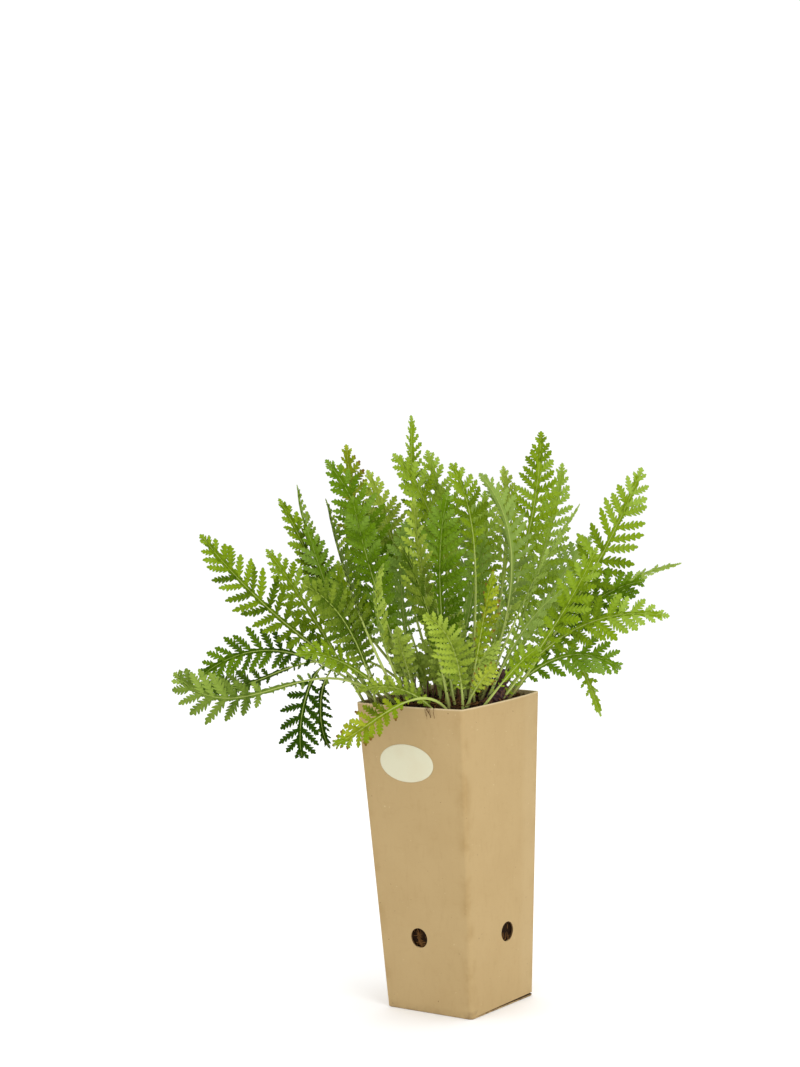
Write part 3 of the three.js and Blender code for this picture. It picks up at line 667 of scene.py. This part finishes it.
def leaflet_margins(lobes, random):
    """Shares along a leaflet, the breadth of its two halves there, and how near a lobe's middle each is."""
    shares, aft, fore, near = [0.0, 0.05], [1.0, 0.7], [1.0, 0.7], [0.0, 0.0]
    for k in range(lobes):
        reach = random.uniform(0.86, 1.12)
        for step, breadth, middle in LOBE:
            shares.append(0.08 + 0.82 * (k + step) / lobes)
            aft.append(breadth * (reach if step else 1))
            fore.append(0.22 if k == 1 and step == 0 else aft[-1])
            near.append(middle)
    shares += [0.9, 0.95, 0.985, 1.0]
    for margin in (aft, fore):
        margin += [0.5, 0.6, 0.36, 0.06]
    near += [0.3, 0.6, 0.8, 1.0]
    shares = np.array(shares)
    fore *= np.interp(shares, [0, 0.15, 0.4, 0.65, 0.85, 1], [0.8, 1.08, 1.04, 0.9, 0.7, 0.5])
    aft *= np.interp(shares, [0, 0.15, 0.4, 0.65, 0.85, 1], [0.5, 0.8, 1.04, 0.94, 0.7, 0.5])
    return shares, aft, fore, np.array(near)


def leaflet(base, axes, size, lobes, shape, random):
    """A lobed leaflet as a grid of points, with each point's nearness to the margin, a vein and the end."""
    axis, across, up = axes
    reach, half = size
    sickle, droop, fold = shape
    shares, aft, fore, near = leaflet_margins(lobes, random)
    columns = np.array([-1, 0, 1])
    side = half * np.where(columns < 0, aft[:, None], fore[:, None]) * columns
    out = np.abs(columns)
    forward = shares[:, None] + 0.85 * np.abs(side) / reach * (1 - shares[:, None] ** 2)
    lift = fold * np.abs(side) - 0.3 * half * out * near[:, None] - droop * reach * forward**2
    inner = side + sickle * reach * forward**2
    grid = base + reach * forward[..., None] * axis + inner[..., None] * across + lift[..., None] * up
    spread = np.ones_like(forward)
    return grid, {"margin": out * spread, "vein": near[:, None] * spread, "reach": np.clip(forward, 0, 1)}


def grow_leaf(
    shape, rib, width, random, tone, fold=18, spacing=1.0, slim=1.0, tip=0.3, bare=0.0, taper=0.32
):
    """A leaf with its stalk, rib, wing and small leaflets, and two rows of lobed leaflets along the rib."""
    sizes = bpy.context.scene.yarrow_sizes
    half = sizes.leaf_thickness / MM / 2
    blade = rib.length - rib.start
    pitch = spacing * sizes.leaflet_pitch / MM * min(1, width / 16) ** 0.75
    pairs = max(4, round(blade / pitch))
    fullness = slim * random.uniform(0.9, 1.14)
    for i in range(pairs):
        for hand in (-1, 1):
            share = (i + 0.5 + random.uniform(-0.12, 0.12)) / pairs
            distance = rib.start + blade * 0.95 * share
            along, up, side = rib.frame_at(distance)
            lean = math.radians(74 - 30 * share - 12 * share**4 + random.uniform(-5, 5))
            slant = math.sin(math.radians(62 - 26 * share))
            reach = width * blade_outline(share, bare, taper) / slant * random.uniform(0.9, 1.08)
            rise = math.radians(fold + random.uniform(-9, 9))
            out = side * hand
            axis = along * math.cos(lean) + math.sin(lean) * (out * math.cos(rise) + up * math.sin(rise))
            normal = unit(up * math.cos(rise) - out * math.sin(rise))
            across = unit(np.cross(normal, axis))
            across *= 1 if across @ along > 0 else -1
            twist = math.radians(random.uniform(-16, 16))
            across, normal = (
                across * math.cos(twist) + normal * math.sin(twist),
                normal * math.cos(twist) - across * math.sin(twist),
            )
            breadth = min(pitch * 0.43, reach * 0.25) * fullness * random.uniform(0.88, 1.1)
            lobes = int(np.clip(round(reach / 3.6), 2, 5))
            bend = (random.uniform(0.0, 0.1), random.uniform(0.0, 0.22), random.uniform(0.15, 0.5))
            axes, foot = (axis, across, normal), rib.at(distance) + out * 0.3
            grid, measures = leaflet(foot, axes, (reach, breadth), lobes, bend, random)
            # Painted light and shade: the leaf's tone, paler towards the tip by tip, with a random step for
            # each leaflet
            measures |= {"along": share, "shade": tone + tip * (share - 0.5) + random.uniform(-0.2, 0.2)}
            add_seen_blade(shape, grid, normal, half, measures)
    add_tip(shape, rib, width, half, tone + tip / 2, random)
    add_wing(shape, rib, half, tone, random)
    add_bracts(shape, rib, width, half, tone, random)
    add_stalk(shape, rib)


def add_seen_blade(shape, grid, towards, half, measures):
    """Adds a blade that is given in the clump's own millimetres."""
    add_blade(shape, to_pot(grid).reshape(grid.shape), to_pot(towards)[0], half * MM, **measures)


def add_tip(shape, rib, width, half, tone, random):
    """The last, broad leaflet, at the end of the rib."""
    blade = rib.length - rib.start
    reach = blade * 0.06 + width * 0.16
    distance = rib.length - reach
    along, up, side = rib.frame_at(distance)
    axes, size, bend = (along, side, up), (reach, width * 0.15), (0, 0.06, 0.2)
    grid, measures = leaflet(rib.at(distance), axes, size, 3, bend, random)
    measures |= {"along": 1.0, "shade": tone}
    add_seen_blade(shape, grid, up, half, measures)


def add_wing(shape, rib, half, tone, random):
    """The narrow toothed wing of leaf along both sides of the rib."""
    blade = rib.length - rib.start
    distances = np.arange(rib.start - 3, rib.start + blade * 0.95, 1.1)
    along, up, side = rib.frames(distances)
    share = np.clip((distances - rib.start) / blade, 0, 1)
    columns = np.array([0, 0.5, 1])
    for hand in (-1, 1):
        out = random.uniform(1.0, 1.9, len(distances)) * np.clip((distances - distances[0]) / 8, 0.25, 1)
        out *= 1 + 0.5 * share
        reach = (out[:, None] * columns)[..., None]
        grid = rib.at(distances)[:, None] + reach * (side * hand + 0.25 * up)[:, None]
        measures = {"margin": np.broadcast_to(0.3 + columns * 0.5, grid.shape[:2]), "along": share[:, None]}
        add_seen_blade(shape, grid, up.mean(0), half, measures | {"shade": tone})


def add_bracts(shape, rib, width, half, tone, random):
    """The small leaflets that stand down the stalk, smaller and further apart towards its foot."""
    distance = rib.start - 2
    while distance > max(24, rib.start * 0.3):
        down = (rib.start - distance) / rib.start
        for hand in (-1, 1):
            if random.random() < 0.15 + 0.4 * down:
                continue
            along, up, side = rib.frame_at(distance + random.uniform(-2, 2))
            reach = width * (0.34 - 0.26 * down) * random.uniform(0.6, 1.1)
            axis = unit(side * hand + along * random.uniform(0.1, 0.7) + up * random.uniform(-0.2, 0.5))
            normal = unit(up - axis * (axis @ up))
            across = np.cross(normal, axis) * hand
            lobes = 3 if reach > 5 else 2
            axes, size, bend = (axis, across, normal), (reach, reach * 0.24), (0.05, 0.1, 0.2)
            grid, measures = leaflet(rib.at(distance), axes, size, lobes, bend, random)
            measures |= {"along": 0.0, "shade": tone}
            add_seen_blade(shape, grid, normal, half, measures)
        distance -= 5.2 + 3.5 * down


def add_stalk(shape, rib):
    """The stalk and the raised rib, tapering to the tip."""
    blade = np.linspace(rib.start, rib.length * 0.985, 26)
    distances = np.concatenate([np.linspace(0, rib.start, 14), blade[1:]])
    before = np.clip(1 - distances / rib.start, 0, 1)
    beyond = np.clip((distances - rib.start) / (rib.length - rib.start), 0, 1)
    foot = bpy.context.scene.yarrow_sizes.stalk_width / MM / 2
    radii = (0.72 + (foot - 0.72) * before**0.8) * (1 - 0.66 * beyond)
    points, faces = tube(rib.at(distances), radii, 8, 0.85)
    shape.add(
        to_pot(points), faces, upper=1.0, along=np.repeat(beyond - before, 8), shade=0.5,
        stalk=np.repeat(1 - 0.45 * beyond, 8),
    )


def pot_half(z):
    sizes = bpy.context.scene.yarrow_sizes
    return (sizes.pot_base + (sizes.pot_top - sizes.pot_base) * z / sizes.pot_height) / 2


def pot_ring(z, inset, flats=14, corners=7):
    """The pot's section at a height, with how near each point is to a fold."""
    sizes = bpy.context.scene.yarrow_sizes
    share = z / sizes.pot_height
    half = pot_half(z) - inset
    radius = max(sizes.fold_radius - inset, 0.0005)
    edge = half - radius
    points, fold = [], []
    for quarter in range(4):
        turn = np.array([[0, 1], [-1, 0]]) if quarter % 2 else np.eye(2)
        turn = turn * (1 if quarter < 2 else -1)
        for along in np.linspace(-edge, edge, flats):
            bow = sizes.rim_bow * share**2 * (1 - (along / edge) ** 2)
            points.append(np.array([along, -half - bow]) @ turn)
            fold.append(max(0, (abs(along) / edge - 0.94) / 0.06))
        for step in np.linspace(0, math.pi / 2, corners)[1:-1]:
            points.append(np.array([edge + radius * math.sin(step), -edge - radius * math.cos(step)]) @ turn)
            fold.append(1)
    return np.array([[x, y, z] for x, y in points]), np.array(fold)


def cut_from(target, cutters):
    """Cuts closed shapes from a mesh object and removes them."""
    for cutter in cutters:
        modifier = target.modifiers.new("cut", "BOOLEAN")
        modifier.operation, modifier.solver, modifier.object = "DIFFERENCE", "EXACT", cutter
    graph = bpy.context.evaluated_depsgraph_get()
    mesh = bpy.data.meshes.new_from_object(target.evaluated_get(graph))
    target.modifiers.clear()
    target.data = mesh
    for cutter in cutters:
        bpy.data.objects.remove(cutter)


def drain_cutters():
    """Round cutters for the four drain holes, each off the middle of its side."""
    sizes = bpy.context.scene.yarrow_sizes
    for quarter, offset in enumerate(DRAIN_OFFSETS):
        depth = np.array([-sizes.pot_base / 2 - 0.01, -sizes.pot_base / 2 + 0.01])
        points, faces = tube([[offset, d, sizes.drain_height] for d in depth], sizes.drain_radius, 48)
        turn = np.array(Matrix.Rotation(quarter * math.pi / 2, 3, "Z"))
        yield add_object("cutter", points @ turn.T, faces)


def wedge(corners, low, heights):
    """A cutter that stands on four corners, as high at each as is given for it."""
    points = [(x, y, low) for x, y in corners] + [(x, y, low + h) for (x, y), h in zip(corners, heights)]
    sides = [(0, 1, 5, 4), (1, 2, 6, 5), (2, 3, 7, 6), (3, 0, 4, 7)]
    return add_object("cutter", points, [(3, 2, 1, 0), (4, 5, 6, 7), *sides])


def foot_cutters():
    """The slit under the three walls that are cut at the foot, wider where a corner has lifted."""
    sizes = bpy.context.scene.yarrow_sizes
    far, inner = sizes.pot_base, sizes.pot_base / 2 - sizes.card - 0.001
    front = -sizes.pot_base / 2 + sizes.fold_radius + 0.001
    low, slit, lifted = sizes.card, 0.0008, (0.0001, 0.0001, 0.0022, 0.0022)
    yield wedge([(inner, front), (far, front), (far, far), (inner, far)], low, lifted)
    yield wedge([(-far, inner), (far, inner), (far, far), (-far, far)], low, (slit,) * 4)
    yield wedge([(-far, front), (-inner, front), (-inner, far), (-far, far)], low, (slit,) * 4)


class YARROW_OT_pot(bpy.types.Operator):
    """Folds the card pot, with soft folds, cut rim, drain holes and the slit at its foot"""

    bl_idname = "yarrow.pot"
    bl_label = "Card pot"
    SHARP = 35

    def execute(self, context):
        sizes = context.scene.yarrow_sizes
        top, card = sizes.pot_height, sizes.card
        levels = [(0.0, 0.0008), (0.0004, 0.0002), (0.001, 0.0)]
        levels += [(z, 0.0) for z in np.linspace(0.006, top - 0.0012, 16)]
        levels += [(top - 0.0004, 0.0), (top, 0.0003), (top, card - 0.0003)]
        levels += [(z, card) for z in np.linspace(top - 0.0004, card, 14)]
        rings = [pot_ring(z, inset) for z, inset in levels]
        count = len(rings[0][0])
        points = np.concatenate([ring for ring, _ in rings])
        cut = np.concatenate([
            np.full(len(ring), float(z > top - 0.0006)) for (z, _), (ring, _) in zip(levels, rings)
        ])
        fold = np.concatenate([fold for _, fold in rings])
        low = np.clip(1 - points[:, 2] / 0.005, 0, 1) ** 1.5
        damp = low * np.where(points[:, 0] > sizes.pot_base / 2 - 0.0045, 1, 0.3)
        inner = np.repeat([inset == card for _, inset in levels], count) & (points[:, 2] < top - 0.0006)
        # Painted shade: the whole inner wall below the rim is darkened with the stain colour
        damp[inner] = 0.9
        lap, lap_face = 0.017, 0.034
        near_fold = np.clip((points[:, 1] - pot_half(points[:, 2]) + lap) / 0.001, 0, 1)
        seam = near_fold * (points[:, 0] > lap_face)
        measures = {"cut": cut, "fold": fold, "damp": damp, "seam": seam}
        faces = skin_faces(len(rings), count)
        pot = piece("pot", points, faces, card_material(), "card", measures, self.SHARP, ("card_pot",))
        cut_from(pot, [*drain_cutters(), *foot_cutters()])
        pot.data.set_sharp_from_angle(angle=math.radians(self.SHARP))
        # Faces on the edges of the drain holes and of the slit at the foot are marked to be coloured dark
        # brown
        torn = [float(self.is_torn(face)) for face in pot.data.polygons]
        pot.data.attributes.new("torn", "FLOAT", "FACE").data.foreach_set("value", torn)
        return {"FINISHED"}

    def is_torn(self, face):
        """Whether a face is on the raw edge of a drain hole or of the slit at the foot."""
        sizes = bpy.context.scene.yarrow_sizes
        x, y, z = face.center
        if abs(face.normal.z) > 0.9:
            return sizes.card - 0.0002 < z < sizes.card + 0.0025
        for quarter, offset in enumerate(DRAIN_OFFSETS):
            turn = Matrix.Rotation(-quarter * math.pi / 2, 3, "Z")
            along, out, high = turn @ face.center
            gap = math.hypot(along - offset, high - sizes.drain_height) - sizes.drain_radius
            if out < 0 and abs(gap) < 0.0002 and abs((turn @ face.normal).y) < 0.5:
                return True
        return False


class YARROW_OT_label(bpy.types.Operator):
    """Sticks the blank oval label on the front"""

    bl_idname = "yarrow.label"
    bl_label = "Label"

    def execute(self, context):
        sizes = context.scene.yarrow_sizes
        aside, height = -0.0035, 0.173
        paper, glue = 0.00028, 0.00012
        front = [(share, paper) for share in (0.01, 0.35, 0.7, 0.93)] + [(0.985, 0.00026), (1.0, 0.0001)]
        back = [(share, 0.0) for share in (1.0, 0.6, 0.01)]
        angles = np.linspace(0, 2 * math.pi, 96, endpoint=False)
        rings = []
        for share, proud in front + back:
            x = aside + share * sizes.label_width / 2 * np.cos(angles)
            z = height + share * sizes.label_height / 2 * np.sin(angles)
            half = pot_half(z)
            bow = sizes.rim_bow * (z / sizes.pot_height) ** 2 * (1 - (x / (half - sizes.fold_radius)) ** 2)
            rings.append(np.stack([x, -half - bow - glue - proud, z], -1))
        faces = skin_faces(len(rings), len(angles), flip=True)
        piece("oval_label", np.concatenate(rings), faces, label_material(), "label", {}, 50, ("label",))
        return {"FINISHED"}


def rough(point, scale, depth=3):
    return noise.fractal(Vector(point) * scale, 0.6, 2.0, depth)


class YARROW_OT_compost(bpy.types.Operator):
    """Fills the pot with crumbly compost, threaded with fine roots"""

    bl_idname = "yarrow.compost"
    bl_label = "Compost"

    def execute(self, context):
        sizes = context.scene.yarrow_sizes
        random = np.random.default_rng(77)
        shape = Shape(["root"])
        inset = sizes.card + 0.0006
        heights = np.linspace(sizes.card + 0.001, sizes.soil_height, 26)
        rings = [pot_ring(z, inset, 20, 5)[0] for z in heights]
        for ring in rings[:-1]:
            for point in ring:
                point[:2] *= 1 - 0.05 * max(0, rough(point, 90))
        rim = rings[-1]
        for share in np.linspace(0.97, 0.02, 38):
            ring = rim * [share, share, 1]
            for point in ring:
                mound = sizes.soil_mound * (1 - share**2)
                point[2] += mound + 0.0022 * rough(point, 160, 4) + 0.0012 * rough(point, 420, 2)
            rings.append(ring)
        shape.add(np.concatenate(rings), skin_faces(len(rings), len(rim)))
        self.add_crumbs(shape, random)
        self.add_roots(shape, random)
        shape.make("compost_fill", compost_material(), "soil", 70, ("compost",))
        return {"FINISHED"}

    def add_crumbs(self, shape, random):
        """Lumps of compost and bark lying on the surface."""
        sizes = bpy.context.scene.yarrow_sizes
        reach = pot_half(sizes.soil_height) - 0.004
        for _ in range(CRUMBS):
            x, y = random.uniform(-reach, reach, 2)
            size = 0.0007 + 0.0022 * random.random() ** 3
            share = max(abs(x), abs(y)) / reach
            z = sizes.soil_height + sizes.soil_mound * (1 - share**2) + size * 0.3
            stretch = size * random.uniform(0.6, 1.3, 3)
            angles = np.linspace(0, 2 * math.pi, 6, endpoint=False) + random.random()
            rows = [[0, 0, -1]]
            for height in (-0.5, 0.5):
                for angle in angles:
                    bulge = random.uniform(0.7, 1.15)
                    rows.append([0.85 * bulge * math.cos(angle), 0.85 * bulge * math.sin(angle), height])
            rows.append([0, 0, 1])
            faces = [(0, 1 + (k + 1) % 6, 1 + k) for k in range(6)]
            faces += [(1 + k, 1 + (k + 1) % 6, 7 + (k + 1) % 6, 7 + k) for k in range(6)]
            faces += [(13, 7 + k, 7 + (k + 1) % 6) for k in range(6)]
            shape.add(np.array(rows) * stretch + [x, y, z], faces, root=0.25 * random.random())

    def add_roots(self, shape, random):
        """Fine roots on the surface, over the rim and behind each drain hole."""
        sizes = bpy.context.scene.yarrow_sizes
        reach = pot_half(sizes.soil_height) - 0.006
        for _ in range(SURFACE_ROOTS):
            start = np.array([*random.uniform(-reach, reach, 2), sizes.soil_height + 0.0045])
            heading = random.uniform(0, 2 * math.pi)
            line = [start]
            for _ in range(9):
                heading += random.uniform(-0.7, 0.7)
                step = np.array([math.cos(heading), math.sin(heading), random.uniform(-0.35, 0.35)]) * 0.0018
                line.append(line[-1] + step)
            line = np.array(line)
            line[:, :2] = np.clip(line[:, :2], -reach - 0.002, reach + 0.002)
            shape.add(*tube(line, random.uniform(0.00012, 0.0003), 4), root=random.uniform(0.4, 1))
        self.add_draped_roots(shape, random)
        for quarter, offset in enumerate(DRAIN_OFFSETS):
            turn = np.array(Matrix.Rotation(quarter * math.pi / 2, 3, "Z"))
            face = -pot_half(sizes.drain_height) + sizes.card + 0.0009
            for _ in range(HOLE_ROOTS):
                angle = random.uniform(-0.5, 0.5)
                angle += math.pi / 2 if random.random() < 0.6 else 0
                bend = random.uniform(-2, 2)
                middle = random.uniform(-0.005, 0.005, 2)
                steps = np.linspace(-1, 1, 9)
                x = offset + middle[0] + 0.008 * steps * math.cos(angle) - 0.001 * bend * steps**2
                z = sizes.drain_height + middle[1] + 0.008 * steps * math.sin(angle) + 0.001 * bend * steps**2
                y = face + 0.0008 * random.random() + 0.0004 * np.sin(steps * 5)
                line = np.stack([x, np.broadcast_to(y, 9), z], -1) @ turn.T
                shape.add(*tube(line, random.uniform(0.0002, 0.0005), 5), root=random.uniform(0.35, 0.9))

    def add_draped_roots(self, shape, random):
        """A few hair roots that hang over the front rim."""
        sizes = bpy.context.scene.yarrow_sizes
        rim = -pot_half(sizes.pot_height) - sizes.rim_bow
        for _ in range(DRAPED_ROOTS):
            along = 0.02 + random.uniform(-0.004, 0.004)
            path = np.array([
                [along - 0.003, rim + 0.006, sizes.soil_height + 0.002],
                [along, rim + 0.001, sizes.pot_height + 0.0006],
                [along + 0.001, rim - 0.0006, sizes.pot_height - 0.001],
                [along + random.uniform(-0.001, 0.003), rim - 0.0003, sizes.pot_height],
            ])
            path[-1, 2] -= random.uniform(0.003, 0.009)
            steps = np.linspace(0, 3, 16)
            line = places_on(path, range(4), steps)
            line[:, 0] += 0.0007 * np.sin(steps * 2.5)
            shape.add(*tube(line, random.uniform(0.0001, 0.00022), 4), root=0.45)


# Woody pieces: from, to (right, towards the viewer, height), radii at shares of the way, as in the CAD
RADII_AT = (0, 0.3, 0.7, 1)
RHIZOMES = [
    ([-34, 2, 201], [34, 4, 206], [4, 7, 8, 6]),
    ([30, 8, 199], [37, 14, 231], [10, 9, 7, 3.5]),
    ([20, 24, 201], [38, 17, 221], [5, 7.5, 6.5, 3]),
]


class YARROW_OT_rootstock(bpy.types.Operator):
    """Grows the woody rootstock, ringed with old scars and scales"""

    bl_idname = "yarrow.rootstock"
    bl_label = "Rootstock"

    def execute(self, context):
        random = np.random.default_rng(5)
        shape = Shape(["dry"])
        for start, end, radii in RHIZOMES:
            start, end = (np.array([p[0], -p[1], p[2]], float) for p in (start, end))
            shares = np.linspace(0, 1, 40)
            line = start + shares[:, None] * (end - start)
            line += 0.8 * np.sin(shares * 9)[:, None] * [0.3, 1, 0.2]
            width = np.interp(shares, RADII_AT, radii) * (0.86 + 0.1 * np.sin(shares * 60))
            width[[0, -1]] *= 0.35
            points, faces = tube(line, width, 28)
            points = to_pot(points)
            centre = np.repeat(to_pot(line), 28, axis=0)
            bumps = np.array([rough(p, 130) for p in points])[:, None]
            shape.add(centre + (points - centre) * (0.9 + 0.3 * bumps), faces)
        parts = ((SCALES, self.add_scale), (WITHERED_STUBS, self.add_stub), (HAIR_ROOTS, self.add_hair_root))
        for count, add_part in parts:
            for _ in range(count):
                add_part(shape, random)
        shape.make("woody_rootstock", rootstock_material(), "rootstock", 55, ("rootstock",))
        return {"FINISHED"}

    def add_hair_root(self, shape, random):
        """A fine root that springs from the woody pieces and droops."""
        share = random.random()
        start = np.array([20 + 18 * share, -24 + 7 * share, 202 + 17 * share])
        angle = random.uniform(-2.6, 0.2)
        out = np.array([math.cos(angle), math.sin(angle), 0.3])
        steps = np.linspace(0, 1, 8)
        line = start + steps[:, None] * out * random.uniform(7, 12)
        line -= UP * (steps**2 * random.uniform(3, 8))[:, None]
        line += 0.7 * np.sin(steps * 5 + share * 20)[:, None] * [1, 0, 0.6]
        points, faces = tube(line, np.linspace(0.3, 0.1, 8), 5)
        shape.add(to_pot(points), faces, dry=1)

    def add_stub(self, shape, random):
        """The withered foot of an old stalk, standing among the new ones."""
        start = np.array([*random.uniform(-28, 28, 2), 203.0])
        lean = np.array([*random.uniform(-0.3, 0.3, 2), 1.0])
        steps = np.linspace(0, 1, 7)
        line = start + steps[:, None] * lean * random.uniform(7, 24)
        line[:, :2] += 0.8 * np.sin(steps * 4 + random.uniform(0, 6))[:, None]
        width = random.uniform(0.7, 1.5) * np.array([1.3, 1.1, 1, 1, 0.95, 0.8, 0.4])
        points, faces = tube(line, width, 7, 0.7)
        shape.add(to_pot(points), faces, dry=random.uniform(0.3, 1))

    def add_scale(self, shape, random):
        """A dry scale or bud standing off the upright woody piece."""
        angle, height = random.uniform(0, 2 * math.pi), random.uniform(206, 228)
        start, end, radii = RHIZOMES[1]
        share = (height - start[2]) / (end[2] - start[2])
        radius = np.interp(share, RADII_AT, radii)
        right, towards = (start[k] + (end[k] - start[k]) * share for k in (0, 1))
        centre = np.array([right, -towards, height])
        out = np.array([math.cos(angle), math.sin(angle), 0.0])
        steps = np.linspace(0, 1, 6)
        line = centre + out * (radius * 0.75 + steps[:, None] * random.uniform(1.5, 3))
        line += UP * (steps**1.5 * 4)[:, None]
        width = np.array([1.5, 1.6, 1.4, 1.0, 0.6, 0.15]) * random.uniform(0.7, 1.2)
        points, faces = tube(line, width, 7, 0.6)
        shape.add(to_pot(points), faces)


class YARROW_OT_stage(bpy.types.Operator):
    """Sets the pale floor, the soft studio light and the camera"""

    bl_idname = "yarrow.stage"
    bl_label = "Stage"

    def execute(self, context):
        scene = context.scene
        scene.view_settings.view_transform = "Standard"
        self.add_floor()
        world = bpy.data.worlds.new("studio")
        world.use_nodes = True
        world.node_tree.nodes["Background"].inputs["Color"].default_value = (1, 1, 1, 1)
        world.node_tree.nodes["Background"].inputs["Strength"].default_value = 1.08
        scene.world = world
        for name, spot, size, power in (
            ("key", (1.8, -0.7, 1.0), 1.0, 12),
            ("fill", (-1.3, -1.3, 0.9), 1.2, 1.5),
            ("top", (0.1, 0.3, 1.8), 1.2, 6),
        ):
            light = bpy.data.lights.new(name, "AREA")
            light.size, light.energy = size, power
            lamp = bpy.data.objects.new(name, light)
            lamp.location = spot
            lamp.rotation_euler = (Vector((0, 0, 0.22)) - Vector(spot)).to_track_quat("-Z", "Y").to_euler()
            scene.collection.objects.link(lamp)
        self.add_camera(scene)
        return {"FINISHED"}

    def add_floor(self):
        pale = Build("pale floor").finish((0.95, 0.95, 0.95), 0.8, Specular_IOR_Level=0.2)
        corners = [(-6, -6, 0), (6, -6, 0), (6, 6, 0), (-6, 6, 0)]
        floor = add_object("floor", corners, [(0, 1, 2, 3)], pale)

    def add_camera(self, scene):
        """Stands the camera where the photograph was taken from."""
        turn, rise, roll = 0.6627, 0.0821, -0.043
        distance, aim_height, aside = 1.69996, 0.32514, 0.028
        back = Vector((math.sin(turn) * math.cos(rise), -math.cos(turn) * math.cos(rise), math.sin(rise)))
        level = (-back).cross(Vector((0, 0, 1))).normalized()
        upright = level.cross(-back)
        right = level * math.cos(roll) + upright * math.sin(roll)
        up = upright * math.cos(roll) - level * math.sin(roll)
        camera = bpy.data.objects.new("camera", bpy.data.cameras.new("camera"))
        camera.data.sensor_width, camera.data.lens = 36, 84.36
        camera.matrix_world = Matrix((right, up, back)).transposed().to_4x4()
        camera.location = Vector((0, 0, aim_height)) + back * distance - aside * level
        scene.collection.objects.link(camera)
        scene.camera = camera


PIECES = (
    YARROW_OT_pot, YARROW_OT_label, YARROW_OT_compost, YARROW_OT_rootstock, YARROW_OT_leaves,
    YARROW_OT_crown_leaves, YARROW_OT_stage,
)


class YARROW_PT_panel(bpy.types.Panel):
    """Lists the pieces of the potted yarrow"""

    bl_idname = "YARROW_PT_panel"
    bl_label = "Potted yarrow"
    bl_space_type = "VIEW_3D"
    bl_region_type = "UI"
    bl_category = "Yarrow"

    def draw(self, context):
        for operator in PIECES:
            self.layout.operator(operator.bl_idname)
        for group in (context.scene.yarrow_sizes, context.scene.yarrow_colours):
            for name in group.__annotations__:
                self.layout.prop(group, name)


CLASSES = (YarrowSizes, YarrowColours, *PIECES, YARROW_PT_panel)


def register():
    for made in CLASSES:
        bpy.utils.register_class(made)
    bpy.types.Scene.yarrow_sizes = bpy.props.PointerProperty(type=YarrowSizes)
    bpy.types.Scene.yarrow_colours = bpy.props.PointerProperty(type=YarrowColours)


def unregister():
    del bpy.types.Scene.yarrow_colours
    del bpy.types.Scene.yarrow_sizes
    for made in reversed(CLASSES):
        bpy.utils.unregister_class(made)


def main():
    register()
    bpy.ops.yarrow.pot()
    bpy.ops.yarrow.label()
    bpy.ops.yarrow.compost()
    bpy.ops.yarrow.rootstock()
    bpy.ops.yarrow.leaves()
    bpy.ops.yarrow.crown_leaves()
    bpy.ops.yarrow.stage()


if __name__ == "__main__":
    main()
